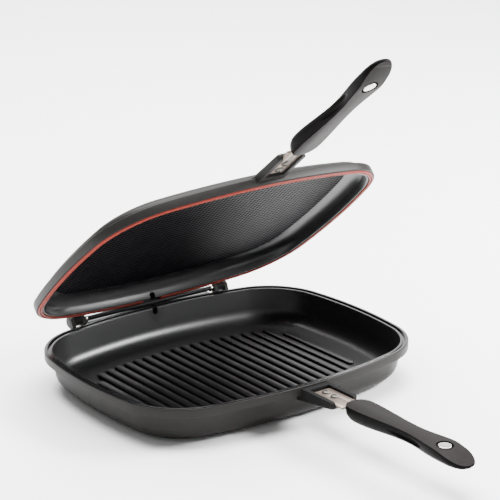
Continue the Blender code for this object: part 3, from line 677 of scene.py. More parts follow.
def spin_round(gap=0.0):
    """Spin the selected section round the whole outline, but for a gap at the back."""
    arcs = outline_arcs()
    long_centre, long_radius, long_turn = arcs["long"]
    corner, _, corner_turn = arcs["corner"]
    short_centre, _, short_turn = arcs["short"]
    back = (long_centre, long_turn - math.asin(gap / 2 / long_radius), LONG_STEPS)
    right = (short_centre, 2 * short_turn, 2 * SHORT_STEPS)
    front = (-long_centre, 2 * long_turn, 2 * LONG_STEPS)
    left = (-short_centre, 2 * short_turn, 2 * SHORT_STEPS)
    route = [back]
    for x, y, side in ((1, 1, right), (1, -1, front), (-1, -1, left), (-1, 1, back)):
        route += [(Vector((x * corner.x, y * corner.y)), corner_turn, CORNER_STEPS), side]
    for centre, turn, steps in route:
        bpy.ops.mesh.spin(
            steps=steps, angle=turn, center=(*centre, 0.0), axis=(0.0, 0.0, 1.0))


def on_back(half, section):
    """Points of a section at the middle of the rim's back."""
    back = sizes().pan_depth / 2
    return [(0.0, back - inset, level(half, depth)) for inset, depth in section]


def pan_shell(half, section):
    """The casting's shell, spun from its section and closed by two faces."""
    points = on_back(half, section)
    shell = draw_line(f"{half}_casting", points)
    bpy.ops.mesh.select_all(action="SELECT")
    spin_round()
    outwards()
    for height in (points[0][2], points[-1][2]):
        pick("edges", lambda e: e.is_boundary
             and all(abs(v.co.z - height) < HAIR for v in e.verts))
        bpy.ops.mesh.edge_face_add()
    outwards()
    deselect()
    return shell


def rib_field():
    """The ribs of the lower floor with round ends, shorter towards the pan's ends."""
    width, pitch = sizes().rib_width, sizes().rib_pitch
    tall = sizes().rib_height
    field_half = sizes().pan_length / 2 - RIB_FIELD_INSET
    arcs = outline_arcs()
    long_centre, long_radius, _ = arcs["long"]
    corner, corner_radius, _ = arcs["corner"]
    ribs = []
    for i in range(int((field_half + pitch / 2 - width / 2) / pitch)):
        x = i * pitch + pitch / 2
        edge = x + width / 2
        reach = long_centre.y + math.sqrt((long_radius - RIB_FIELD_INSET) ** 2 - edge ** 2)
        if rim_inset(edge, reach) < RIB_FIELD_INSET - 10 * HAIR:
            rounding = (corner_radius - RIB_FIELD_INSET) ** 2 - (edge - corner.x) ** 2
            reach = corner.y + math.sqrt(max(rounding, 0.0))
        rib = block("rib", (x - width / 2, -reach, FLOOR - RIB_SINK), (edge, reach, FLOOR + tall))
        bevel(rib, lambda e: abs(e.verts[0].co.z - e.verts[1].co.z) > tall,
              width * RIB_END_SHARE, 8)
        top = FLOOR + tall - HAIR
        bevel(rib, lambda e: min(v.co.z for v in e.verts) > top and e.is_manifold
              and abs(e.link_faces[0].normal.z - e.link_faces[1].normal.z) > 0.5, RIB_EDGE, 3)
        ribs += [rib, copy_of(rib, "rib", (-2 * x, 0.0, 0.0))]
    deselect()
    for rib in ribs:
        rib.select_set(True)
    bpy.context.view_layer.objects.active = ribs[0]
    bpy.ops.object.join()
    return ribs[0]


def lug(half):
    """The casting's lug for the handle, with rounded outer edges and welded root."""
    plane = f"{half}_handle"
    drop = PLANE_DROPS[plane]
    front = -sizes().pan_depth / 2
    under = OVERHANGS[half] + RIB_SINK
    foot = OVERHANGS[half] + WALL / 2 + LUG_FEET_IN[half]
    side = [
        (front + LID_LAND / 2, LUG_TOP_DROP),
        (front + LID_LAND / 2, CHANNEL_DEPTH + RIB_SINK - drop),
        (front + under, RIM_BAND - RIB_SINK - drop),
        (front + foot, LUG_TOP_DROP + LUG_ROOT_HEIGHTS[half]),
        (front - LUG_REACH, LUG_TOP_DROP + LUG_END_HEIGHT),
        (front - LUG_REACH, LUG_TOP_DROP),
    ]
    reach = STRAP_WIDTH / 2 + BED_CLEARANCE + CHEEK
    points = [(-reach, y, level(plane, depth)) for y, depth in side]
    body = plate(f"{half}_lug", points, (2 * reach, 0.0, 0.0))

    def outer(edge):
        near, far = sorted(edge.verts, key=lambda vert: vert.co.y)
        middle = front - LUG_REACH / 2
        return far.co.y < middle or (near.co.y < middle and far.co.y > front + under)
    bevel(body, outer, LUG_ROUND, 7)
    return body


def arm(half, start, end):
    """One hinge arm: a root in the flange and a round knuckle on the hinge axis."""
    centre = Vector(axis_place())
    root_top = level(half, {"lower": GROOVE_DEPTH, "upper": CHANNEL_DEPTH}[half] + ARM_EDGE)
    back = sizes().pan_depth / 2
    rise = Vector((back - ARM_RISE_BACK, root_top))
    foot = Vector((ARM_ROOT, level(half, RIM_BAND - ARM_EDGE)))
    # The knuckle's arc runs between its tangents from the rise and from the foot
    way = AWAY[half]
    to_rise, to_foot = rise - centre, foot - centre
    near = math.atan2(to_rise.y, to_rise.x) + way * math.acos(KNUCKLE_RADIUS / to_rise.length)
    far = math.atan2(to_foot.y, to_foot.x) - way * math.acos(KNUCKLE_RADIUS / to_foot.length)
    far = near + way * (way * (far - near) % (2 * math.pi))
    side = [(ARM_ROOT, root_top), rise, *arc(centre, KNUCKLE_RADIUS, near, far, KNUCKLE_STEPS), foot]
    made = plate(f"{half}_arm", [(start, y, z) for y, z in side], (end - start, 0.0, 0.0))
    bevel(made, lambda e: abs(e.verts[0].co.x - e.verts[1].co.x) < HAIR
          and max(v.co.y for v in e.verts) > back, CAST_EDGE, 2)
    return made


def pin_bore(side):
    """Cutter of one hinge's bore, with the seat of the pin's head."""
    (start, _), (_, end) = ear_spans()
    seat = end - PIN_HEAD_THICKNESS - PIN_FIT
    bore, head = PIN_RADIUS + PIN_FIT, PIN_HEAD_RADIUS + PIN_FIT
    line = [(0.0, start - OVERRUN), (bore, start - OVERRUN), (bore, seat), (head, seat),
            (head, end + OVERRUN), (0.0, end + OVERRUN)]
    return on_hinge("bore", line, side, 48)


def back_ledge():
    """Ledge between the hinges that closes the bow of the lower rim under the bar."""
    reach = cap_span()[1] - LEDGE_END_GAP
    centre, radius, _ = outline_arcs()["long"]
    back = sizes().pan_depth / 2 + LEDGE_BACK
    top = level("lower", LEDGE_TOP_DROP)
    points = [(reach, back, top), (-reach, back, top)]
    for i in range(LEDGE_STEPS + 1):
        x = reach * (2 * i / LEDGE_STEPS - 1)
        points.append((x, centre.y + math.sqrt((radius - LEDGE_INSET) ** 2 - x ** 2), top))
    ledge = plate("ledge", points, (0.0, 0.0, LEDGE_TOP_DROP + ARM_EDGE - RIM_BAND))
    bevel(ledge, lambda e: min(v.co.y for v in e.verts) > back - HAIR, CAST_EDGE, 2)
    return ledge


def vent_cutter(half):
    """Cutter of the steam vent, a round-bottomed notch from the inside into the rim."""
    radius = VENT_WIDTH / 2
    side = arc((0.0, VENT_DEPTHS[half] - radius), radius, 0.0, math.pi, VENT_STEPS)
    side += [(-radius, -OVERRUN), (radius, -OVERRUN)]
    inner = sizes().pan_depth / 2 - OPENING_INSET - VENT_WIDTH
    outer = sizes().pan_depth / 2 - VENT_END_WALLS[half]
    points = [(x, inner, level(half, depth)) for x, depth in side]
    return plate("vent", points, (0.0, outer - inner, 0.0))


def cast_pan(half, section, arm_spans):
    """A whole cast pan with its lug, hinge arms, strap bed, holes and vent."""
    pan = pan_shell(half, section)
    weld(pan, lug(half))
    for side in (-1, 1):
        for start, end in arm_spans:
            weld(pan, arm(half, side * start, side * end))
        cut(pan, pin_bore(side))
    front = -sizes().pan_depth / 2
    plane = f"{half}_handle"
    wide = STRAP_WIDTH / 2 + BED_CLEARANCE
    pocket(pan, plane, (-wide, front - LUG_REACH - OVERRUN), (wide, front - CHANNEL_START),
         -OVERRUN, STRAP_DROP + STRAP_THICKNESS + SEAL_FIT)
    for y in screw_places():
        drill(pan, plane, y, SHANK_RADIUS + SEAL_FIT, STRAP_DROP,
              STRAP_DROP + SCREW_LENGTH + SEAL_FIT)
    cut(pan, vent_cutter(half))
    return pan


# Zones of the finishes

def outer_inset(z):
    """Inset of the lower pan's outer surface at a height."""
    overhang = OVERHANGS["lower"]
    if z >= BASE_RISE:
        share = (z - BASE_RISE) / (sizes().pan_height - RIM_BAND - BASE_RISE)
        return overhang + WALL_DRAFT * max(1 - share, 0.0)
    turn = math.asin(min(max(1 - z / BASE_RISE, 0.0), 1.0))
    return overhang + WALL_DRAFT + BASE_RUN * (1 - math.cos(turn))


def lower_inside(face):
    """Whether a face of the lower pan carries the non-stick coating."""
    place = face.calc_center_median()
    inset = rim_inset(place.x, place.y)
    if place.z > sizes().pan_height - RIM_BAND + PAINT_MARGIN:
        return inset > PAINT_INSET
    return place.z > FLOOR / 2 and inset > outer_inset(place.z) + WALL / 2


def lower_rim(face):
    """Whether a face of the lower pan is on the top of its rim."""
    place = face.calc_center_median()
    return (place.z > sizes().pan_height - GROOVE_DEPTH - PAINT_MARGIN
            and PAINT_INSET < rim_inset(place.x, place.y) < OPENING_INSET)


def ledge_for_painted_shade(face):
    """Whether a face of the lower pan is on the ledge behind its rim, which is painted near black as
    shade.
    """
    place = face.calc_center_median()
    return abs(place.x) < cap_span()[1] and rim_inset(place.x, place.y) < -PAINT_INSET


def upper_inside(face):
    """Whether a face of the closed upper pan carries the non-stick coating."""
    place = face.calc_center_median()
    depth = place.z - lid_rim()
    inset = rim_inset(place.x, place.y)
    past_step = depth - RIM_BAND - LID_OUTER_STEP
    if past_step < 0:
        return inset > LID_LAND + CHANNEL_WIDTH + LID_LIP_WIDTH - 2 * PAINT_MARGIN
    rise = sizes().lid_height - RIM_BAND - LID_OUTER_STEP
    turn = math.asin(min(past_step / rise, 1.0))
    skin = OVERHANGS["upper"] + LID_OUTER_RUN * (1 - math.cos(turn)) + WALL / 2
    return depth < sizes().lid_height - LID_FLOOR / 2 and inset > skin


def upper_floor(face):
    """Whether a face is the flat floor of the closed upper pan."""
    depth = face.calc_center_median().z - lid_rim()
    at_floor = abs(depth - (sizes().lid_height - LID_FLOOR)) < PAINT_MARGIN
    return at_floor and face.normal.z < -FLAT_SHARE


# Finishes

def add_node(tree, kind, settings=None, values=None, links=None):
    """Add a node with its settings, its values and its links."""
    made = tree.nodes.new(kind)
    for key, value in (settings or {}).items():
        setattr(made, key, value)
    for key, value in (values or {}).items():
        made.inputs[key].default_value = value
    for key, source in (links or {}).items():
        tree.links.new(source, made.inputs[key])
    return made


def finish(name, **sockets):
    """A new material with its shader's own values, ready for its pattern."""
    made = bpy.data.materials.new(name)
    made.use_nodes = True
    tree = made.node_tree
    shader = tree.nodes["Principled BSDF"]
    for key, value in sockets.items():
        shader.inputs[key.replace("_", " ")].default_value = value
    place = add_node(tree, "ShaderNodeTexCoord").outputs["Object"]
    return made, tree, shader, place


def shift(colour, share):
    """A colour made lighter or darker by a share."""
    return (*(min(channel * share, 1.0) for channel in colour[:3]), 1.0)


def mottle(tree, shader, place, colour, cell, spread, rough, rough_spread):
    """Uneven colour and gloss in cells of a real size."""
    noise = add_node(tree, "ShaderNodeTexNoise", values={"Scale": 1 / cell, "Detail": 3.0},
                     links={"Vector": place}).outputs["Fac"]
    ramp = add_node(tree, "ShaderNodeValToRGB", links={"Fac": noise})
    for stop, position, way in zip(ramp.color_ramp.elements, (0.3, 0.7), (-1, 1)):
        stop.position = position
        stop.color = shift(colour, 1 + way * spread)
    tree.links.new(ramp.outputs["Color"], shader.inputs["Base Color"])
    gloss = add_node(tree, "ShaderNodeMapRange",
                     values={"To Min": rough - rough_spread, "To Max": rough + rough_spread},
                     links={"Value": noise})
    tree.links.new(gloss.outputs["Result"], shader.inputs["Roughness"])


def relief(tree, shader, heights, depth):
    """Bump of the shader by a pattern of heights."""
    bump = add_node(tree, "ShaderNodeBump", values={"Strength": 1.0, "Distance": depth},
                    links={"Height": heights})
    tree.links.new(bump.outputs["Normal"], shader.inputs["Normal"])


def grain(tree, shader, place, size, depth):
    """Fine bump in grains of a real size."""
    noise = add_node(tree, "ShaderNodeTexNoise", values={"Scale": 1 / size, "Detail": 2.0},
                     links={"Vector": place}).outputs["Fac"]
    relief(tree, shader, noise, depth)


def coat(name, colour, spots, gloss, bumps, **sockets):
    """A finish with uneven colour and gloss over a fine grain.

    Spots are the size of a cell and the spread of its colour, gloss the roughness and its
    spread, and bumps the size and the depth of the grain.
    """
    made, tree, shader, place = finish(name, **sockets)
    mottle(tree, shader, place, colour, *spots, *gloss)
    grain(tree, shader, place, *bumps)
    return made


def lacquered_casting(name):
    """Baked metallic lacquer sprayed on pressure cast aluminium.

    It gives a warm dark grey with a broad satin sheen and a faint orange peel. Real orange
    peel is about 0.5 mm; it is drawn at 1 mm so that it shows.
    """
    return coat(name, colours().lacquer, (0.006, 0.05), (0.42, 0.03), (0.001, 0.00003),
                IOR=1.5, Specular_IOR_Level=0.09)


def non_stick_coating(name, rough):
    """Fluoropolymer coating sprayed and cured on the cast floor, walls and rim.

    It is near black with a fine mineral speckle, silky inside and glossier on the rim.
    """
    return coat(name, colours().non_stick, (0.003, 0.10), (rough, 0.03), (0.0011, 0.00004),
                IOR=1.55)


def embossed_coating(name):
    """The same coating over the upper floor's pattern of small round-cornered cells.

    The cells are 5 mm apart in straight rows and catch the light as a fine mesh.
    """
    made, tree, shader, place = finish(name, IOR=1.5, Specular_IOR_Level=0.025)
    mottle(tree, shader, place, colours().non_stick, 0.003, 0.10, 0.36, 0.03)
    lay = add_node(tree, "ShaderNodeMapping", settings={"vector_type": "POINT"},
                   values={"Rotation": (OPEN_ANGLE, 0.0, 0.0)}, links={"Vector": place})
    split = add_node(tree, "ShaderNodeSeparateXYZ", links={"Vector": lay.outputs["Vector"]})
    waves = {}
    for index, (way, pitch) in enumerate(CELL_PITCHES.items()):
        turn = add_node(tree, "ShaderNodeMath", settings={"operation": "MULTIPLY"},
                        values={1: 2 * math.pi / pitch}, links={0: split.outputs[way]})
        waves[index] = add_node(tree, "ShaderNodeMath", settings={"operation": "COSINE"},
                                links={0: turn.outputs["Value"]}).outputs["Value"]
    cells = add_node(tree, "ShaderNodeMath", settings={"operation": "ADD"}, links=waves)
    relief(tree, shader, cells.outputs["Value"], CELL_DEPTH)
    return made


def moulded_silicone(name):
    """Compression moulded silicone rubber: brick red, soft sheen, a little light inside."""
    return coat(name, colours().silicone, (0.004, 0.06), (0.42, 0.05), (0.0008, 0.00002),
                IOR=1.41, Specular_IOR_Level=0.12, Subsurface_Weight=0.12,
                Subsurface_Scale=0.002)


def moulded_phenolic(name, lighter, sheen):
    """Phenolic moulding: black with a dull skin; a copy made lighter, to charcoal, is painted light
    on the flat mating face.
    """
    return coat(name, shift(colours().phenolic, lighter), (0.005, 0.08), (0.40, 0.04),
                (0.0009, 0.00002), IOR=1.5, Specular_IOR_Level=sheen)


def brushed_sheet(name):
    """Stainless sheet brushed along its length: fine streaks in a warm silver."""
    made, tree, shader, place = finish(name, Metallic=1.0)
    streaks = add_node(tree, "ShaderNodeMapping", values={"Scale": (1.0, 0.02, 1.0)},
                       links={"Vector": place}).outputs["Vector"]
    mottle(tree, shader, streaks, colours().steel, 0.0006, 0.06, 0.44, 0.06)
    grain(tree, shader, streaks, 0.0005, 0.00002)
    return made


def bright_plating(name, rough, share=1.0):
    """Nickel, chrome or dulled zinc plating on steel, with faint handling marks."""
    return coat(name, shift(colours().nickel, share), (0.002, 0.06), (rough, 0.06),
                (0.0009, 0.000008), Metallic=1.0)


def blackened_steel(name):
    """Oil blackened steel: nearly black with a dull sheen."""
    return coat(name, colours().blackening_and_painted_shade, (0.003, 0.10), (0.45, 0.05), (0.0009, 0.00001),
                IOR=1.5, Specular_IOR_Level=0.2)


def painted_shade_casting(name):
    """Painted shade: the ledge's casting coloured near black and matt, dull black that takes no
    highlight, so that it reads as the shade behind the rim.
    """
    return coat(name, colours().blackening_and_painted_shade, (0.003, 0.10), (0.80, 0.05), (0.0009, 0.00003),
                Specular_IOR_Level=0.1)


def kept(maker, name, *details):
    """A material that is made once and then shared."""
    return bpy.data.materials.get(name) or maker(name, *details)


def pan_finishes():
    """Outside and inside finish of both pans."""
    return [kept(lacquered_casting, "baked_grey_lacquer"),
            kept(non_stick_coating, "non_stick_coating", 0.34)]


# Pieces

class FLIPPAN_OT_lower_pan(bpy.types.Operator):
    """Deep lower pan with its ribbed floor, rim groove, handle lug and hinge ears"""

    bl_idname = "flip_pan.lower_pan"
    bl_label = "Lower pan"

    def execute(self, context):
        pan = cast_pan("lower", lower_section(), ear_spans())
        weld(pan, back_ledge())
        weld(pan, rib_field())
        # The third finish is painted shade: a matt near black on the ledge behind the rim.
        finishes = pan_finishes() + [kept(painted_shade_casting, "matt_black_casting"),
                                     kept(non_stick_coating, "rim_non_stick", 0.17)]
        paint(pan, finishes, [lower_inside, ledge_for_painted_shade, lower_rim])
        hand_over(pan, "lower_pan_casting", "lower", ["lower_pan"])
        return {"FINISHED"}


class FLIPPAN_OT_upper_pan(bpy.types.Operator):
    """Shallow upper pan with its seal channel, embossed floor, lug and hinge knuckles"""

    bl_idname = "flip_pan.upper_pan"
    bl_label = "Upper pan"

    def execute(self, context):
        half_knuckle = LID_KNUCKLE_WIDTH / 2
        knuckle = (HINGE_SPACING - half_knuckle, HINGE_SPACING + half_knuckle)
        pan = cast_pan("upper", upper_section(), [knuckle])
        finishes = pan_finishes() + [kept(embossed_coating, "embossed_non_stick")]
        paint(pan, finishes, [upper_inside, upper_floor])
        hand_over(pan, "upper_pan_casting", "upper", ["upper_pan"])
        return {"FINISHED"}


class FLIPPAN_OT_seal(bpy.types.Operator):
    """Silicone seal with two soft lips, open at the steam vent"""

    bl_idname = "flip_pan.seal"
    bl_label = "Seal"

    def execute(self, context):
        start = LID_LAND + SEAL_FIT
        end = LID_LAND + CHANNEL_WIDTH - SEAL_FIT
        middle = (start + end) / 2
        proud = -sizes().seal_proud
        deep = CHANNEL_DEPTH - SEAL_FIT
        section = rounded([
            (middle, deep, 0), (start, deep, GROOVE_ROUND), (start, proud, SEAL_EDGE_ROUND),
            (middle - SEAL_SPLIT / 2, proud, SEAL_SPLIT_ROUND),
            (middle - SEAL_SPLIT / 4, proud + SEAL_SPLIT_DEPTH, 0),
            (middle + SEAL_SPLIT / 4, proud + SEAL_SPLIT_DEPTH, 0),
            (middle + SEAL_SPLIT / 2, proud, SEAL_SPLIT_ROUND),
            (end, proud, SEAL_EDGE_ROUND), (end, deep, GROOVE_ROUND), (middle, deep, 0),
        ], 5)[:-1]
        seal = draw_face("seal", on_back("upper", section))
        centre, radius, _ = outline_arcs()["long"]
        bpy.ops.transform.rotate(
            value=math.asin(SEAL_VENT_GAP / 2 / radius), orient_axis="Z",
            center_override=(*centre, 0.0))
        bpy.ops.mesh.delete(type="ONLY_FACE")
        bpy.ops.mesh.select_all(action="SELECT")
        spin_round(SEAL_VENT_GAP)
        outwards()
        for at in (-SEAL_VENT_GAP / 2, SEAL_VENT_GAP / 2):
            pick("edges", lambda e: e.is_boundary
                 and all(abs(v.co.x - at) < 100 * HAIR for v in e.verts))
            bpy.ops.mesh.edge_face_add()
        outwards()
        deselect()
        paint(seal, [kept(moulded_silicone, "moulded_silicone")])
        hand_over(seal, "silicone_seal_strip", "upper", ["silicone_seal"])
        return {"FINISHED"}


class FLIPPAN_OT_straps(bpy.types.Operator):
    """Steel straps that carry the grips"""

    bl_idname = "flip_pan.straps"
    bl_label = "Straps"

    def execute(self, context):
        start = -(sizes().pan_depth / 2 + STRAP_START)
        shoulder = grip_start() + SEAL_FIT
        half_tongue = TONGUE_WIDTH / 2
        bend = (half_tongue - TONGUE_ROUND, grip_start() - TONGUE_LENGTH + TONGUE_ROUND)
        right = [(STRAP_WIDTH / 2, start), (STRAP_WIDTH / 2, shoulder), (half_tongue, shoulder),
                 *arc(bend, TONGUE_ROUND, 0.0, -math.pi / 2, TONGUE_STEPS)]
        around = right + [(-x, y) for x, y in reversed(right)]
        for half in AWAY:
            plane = f"{half}_handle"
            near = level(plane, STRAP_DROP)
            thick = (0.0, 0.0, level(plane, STRAP_DROP + STRAP_THICKNESS) - near)
            strap = plate("strap", [(x, y, near) for x, y in around], thick)
            for y in screw_places() + [grip_start() - GRIP_SCREW_BACK]:
                drill(strap, plane, y, SHANK_RADIUS + SEAL_FIT, STRAP_DROP - OVERRUN,
                      STRAP_DROP + STRAP_THICKNESS + OVERRUN)
            modify(strap, "BEVEL", width=STRAP_EDGE, segments=2, limit_method="ANGLE",
                   angle_limit=STRAP_SHARP_ANGLE, harden_normals=False)
            paint(strap, [kept(brushed_sheet, "brushed_stainless")])
            hand_over(strap, f"{half}_strap_plate", half, [f"{half}_strap"])
        return {"FINISHED"}


def cross_recess(screw, plane, y, near, far):
    """Cut a cross recess into a screw's head, from one depth to another."""
    for wide, tall in ((RECESS_LENGTH, RECESS_WIDTH), (RECESS_WIDTH, RECESS_LENGTH)):
        pocket(screw, plane, (-wide / 2, y - tall / 2), (wide / 2, y + tall / 2), near, far)


class FLIPPAN_OT_screws(bpy.types.Operator):
    """Domed strap screws and sunk grip screws, each with a cross recess"""

    bl_idname = "flip_pan.screws"
    bl_label = "Screws"

    def execute(self, context):
        plating = kept(bright_plating, "zinc_plating", 0.55, 0.17)
        for half in AWAY:
            self.strap_screws(half, plating)
            self.grip_screw(half, plating)
        return {"FINISHED"}

    def strap_screws(self, half, plating):
        """The two screws that hold a strap in its bed."""
        plane = f"{half}_handle"
        seat = STRAP_DROP - SEAL_FIT
        tip = STRAP_DROP + SCREW_LENGTH
        turns = [math.pi / 2 * i / DOME_STEPS for i in range(DOME_STEPS + 1)]
        dome = [(SCREW_HEAD_RADIUS * math.sin(t), seat - SCREW_HEAD_HEIGHT * math.cos(t))
                for t in turns]
        line = dome + [(SHANK_RADIUS, seat), (SHANK_RADIUS, tip - ARM_EDGE),
                       (SHANK_RADIUS - ARM_EDGE, tip), (0.0, tip)]
        first, second = screw_places()
        screw = upright("screw", plane, first, line)
        top = seat - SCREW_HEAD_HEIGHT
        cross_recess(screw, plane, first, top - OVERRUN, top + RECESS_DEPTH)
        paint(screw, [plating])
        other = copy_of(screw, "screw", (0.0, second - first, 0.0))
        for number, made in enumerate((screw, other), start=1):
            hand_over(made, f"{half}_strap_screw_{number}_domed", half,
                      [f"{half}_strap_screw_{number}"])

    def grip_screw(self, half, plating):
        """The screw from the grip's spine into the strap."""
        plane = f"{half}_grip"
        y = grip_start() - GRIP_SCREW_BACK
        seat = GRIP_DEPTHS[0] - GRIP_SCREW_SINK - GRIP_SCREW_HEAD_HEIGHT + SEAL_FIT
        outer = seat + GRIP_SCREW_HEAD_HEIGHT
        inner = STRAP_DROP + GRIP_LIFT + SEAL_FIT
        line = rounded([
            (0.0, inner, 0), (SHANK_RADIUS - ARM_EDGE, inner, 0),
            (SHANK_RADIUS, inner + ARM_EDGE, 0), (SHANK_RADIUS, seat, 0),
            (GRIP_SCREW_HEAD, seat, GRIP_SCREW_SEAT_ROUND),
            (GRIP_SCREW_HEAD, outer, GRIP_SCREW_ROUND), (0.0, outer, 0),
        ])
        screw = upright("screw", plane, y, line)
        cross_recess(screw, plane, y, outer + OVERRUN, outer - GRIP_RECESS_DEPTH)
        paint(screw, [plating])
        hand_over(screw, f"{half}_grip_screw_sunk", half, [f"{half}_grip_screw"])


def eased(share, values):
    """Smooth value between the grip's named stations."""
    stops = GRIP_STATION_SHARES
    if share <= stops[0]:
        return values[0]
    for near, far, a, b in zip(stops, stops[1:], values, values[1:]):
        if share <= far:
            ease = (1 - math.cos(math.pi * (share - near) / (far - near))) / 2
            return a + (b - a) * ease
    return values[-1]


def grip_half_width(back):
    """Half width of the grip's mating face some way back from its root."""
    length = sizes().grip_length
    half = eased(back / length, GRIP_WIDTHS) / 2
    ends = ((back, GRIP_ROOT_ROUND, ROOT_POWER), (length - back, GRIP_TAIL_ROUND, TAIL_POWER))
    for left, rounding, power in ends:
        if left < rounding:
            half *= max(1 - (1 - max(left, 0.0) / rounding) ** power, 0.0) ** (1 / power)
    return half


def grip_body(half):
    """The grip's shell: its flat face is drawn, then extruded and drawn in ring by ring."""
    length = sizes().grip_length
    stations = []
    for i in range(GRIP_STATIONS + 1):
        even = i / GRIP_STATIONS
        round_end = (1 - math.cos(math.pi * even)) / 2
        stations.append(length * (EVEN_SHARE * even + (1 - EVEN_SHARE) * round_end))
    right = [(grip_half_width(back), grip_start() - back) for back in stations]
    around = right + [(-x, y) for x, y in reversed(right[1:-1])]
    face = level(f"{half}_grip", 0.0)
    body = draw_face("grip", [(x, y, face) for x, y in around])
    middle = (0.0, grip_start() - length / 2, face)
    deepest = max(GRIP_DEPTHS)
    for was, now in zip(GRIP_SHELL_SHARES, GRIP_SHELL_SHARES[1:]):
        step = (0.0, 0.0, AWAY[half] * (now[1] - was[1]) * deepest)
        bpy.ops.mesh.extrude_region_move(TRANSFORM_OT_translate={"value": step})
        shorten = [1 - (1 - share[0]) * GRIP_WIDTHS[2] / length for share in (was, now)]
        bpy.ops.transform.resize(
            value=(now[0] / was[0], shorten[1] / shorten[0], 1.0), center_override=middle)
    # Strips across the mating face let it bend away at the tail
    for back in stations[1:-1]:
        if back > length * TAIL_BEND_START_SHARE:
            y = grip_start() - back
            pick("verts", lambda v: abs(v.co.z - face) < HAIR and abs(v.co.y - y) < HAIR)
            bpy.ops.mesh.vert_connect()
    # The depth follows the hand: deeper at the root, shallow at the neck
    shape = bmesh.from_edit_mesh(body.data)
    for vert in shape.verts:
        back = (grip_start() - vert.co.y) / length
        share = abs(vert.co.z - face) / deepest
        bend = max(back - TAIL_BEND_START_SHARE, 0.0) / (1 - TAIL_BEND_START_SHARE)
        lift = TAIL_BEND * min(bend, 1.0) ** TAIL_BEND_POWER
        vert.co.z = face + AWAY[half] * (lift + share * (eased(back, GRIP_DEPTHS) - lift))
    bmesh.update_edit_mesh(body.data)
    outwards()
    bevel(body, lambda e: e.is_manifold and e.calc_face_angle() > GRIP_SHARP_ANGLE,
          GRIP_EDGE, 3)
    return body


class FLIPPAN_OT_grips(bpy.types.Operator):
    """Moulded grips with a flat mating face, a rounded spine and finger scoops"""

    bl_idname = "flip_pan.grips"
    bl_label = "Grips"

    def execute(self, context):
        for half, way in AWAY.items():
            grip = grip_body(half)
            self.scoop(grip, half)
            self.fit(grip, half)
            # The mating face gets the phenolic made 5.2 times lighter: painted light where the face
            # catches the lamps.
            finishes = [kept(moulded_phenolic, "moulded_phenolic", 1.0, 0.03),
                        kept(moulded_phenolic, "ground_phenolic", 5.2, 0.02)]
            paint(grip, finishes, [lambda face: way * face.normal.z < -PAINTED_LIGHT_FACE_SHARE])
            hand_over(grip, f"{half}_grip_moulding", half, [f"{half}_grip"])
        return {"FINISHED"}

    def scoop(self, grip, half):
        """Finger scoops on both sides of the neck."""
        neck = grip_start() - sizes().grip_length * GRIP_STATION_SHARES[1]
        z = level(f"{half}_grip", GRIP_DEPTHS[1] * SCOOP_DROP_SHARE)
        x = GRIP_WIDTHS[1] / 2 + SCOOP_SIZE[0] - SCOOP_BITE
        for side in (-1, 1):
            deselect()
            bpy.ops.mesh.primitive_uv_sphere_add(
                segments=48, ring_count=32, radius=1.0, location=(side * x, neck, z),
                scale=SCOOP_SIZE)
            ball = bpy.context.object
            apply_places()
            cut(grip, ball)

    def fit(self, grip, half):
        """Socket of the strap, way of the screw and recess of the magnet."""
        plane = f"{half}_grip"
        drop = STRAP_DROP + GRIP_LIFT
        wide = TONGUE_WIDTH / 2 + SEAL_FIT
        pocket(grip, plane, (-wide, grip_start() - TONGUE_LENGTH - SEAL_FIT),
             (wide, grip_start() + OVERRUN), drop - SEAL_FIT, drop + STRAP_THICKNESS + SEAL_FIT)
        y = grip_start() - GRIP_SCREW_BACK
        spine = GRIP_DEPTHS[0]
        drill(grip, plane, y, SHANK_RADIUS + SEAL_FIT, drop, spine)
        drill(grip, plane, y, GRIP_SCREW_HEAD + COUNTERBORE_FIT,
              spine - GRIP_SCREW_SINK - GRIP_SCREW_HEAD_HEIGHT, spine + OVERRUN)
        drill(grip, plane, grip_start() - MAGNET_BACK, MAGNET_RECESS, -OVERRUN,
              MAGNET_SINK + MAGNET_THICKNESS + SEAL_FIT)


class FLIPPAN_OT_magnets(bpy.types.Operator):
    """Round magnets in the grips' mating faces"""

    bl_idname = "flip_pan.magnets"
    bl_label = "Magnets"

    def execute(self, context):
        back = MAGNET_SINK + MAGNET_THICKNESS
        line = rounded([(0.0, MAGNET_SINK, 0), (MAGNET_RADIUS, MAGNET_SINK, MAGNET_ROUND),
                        (MAGNET_RADIUS, back, 0), (0.0, back, 0)], 5)
        for half in AWAY:
            disc = upright("magnet", f"{half}_grip", grip_start() - MAGNET_BACK, line, 64)
            paint(disc, [kept(bright_plating, "nickel_plating", 0.22)])
            hand_over(disc, f"{half}_magnet_disc", half, [f"{half}_magnet"])
        return {"FINISHED"}


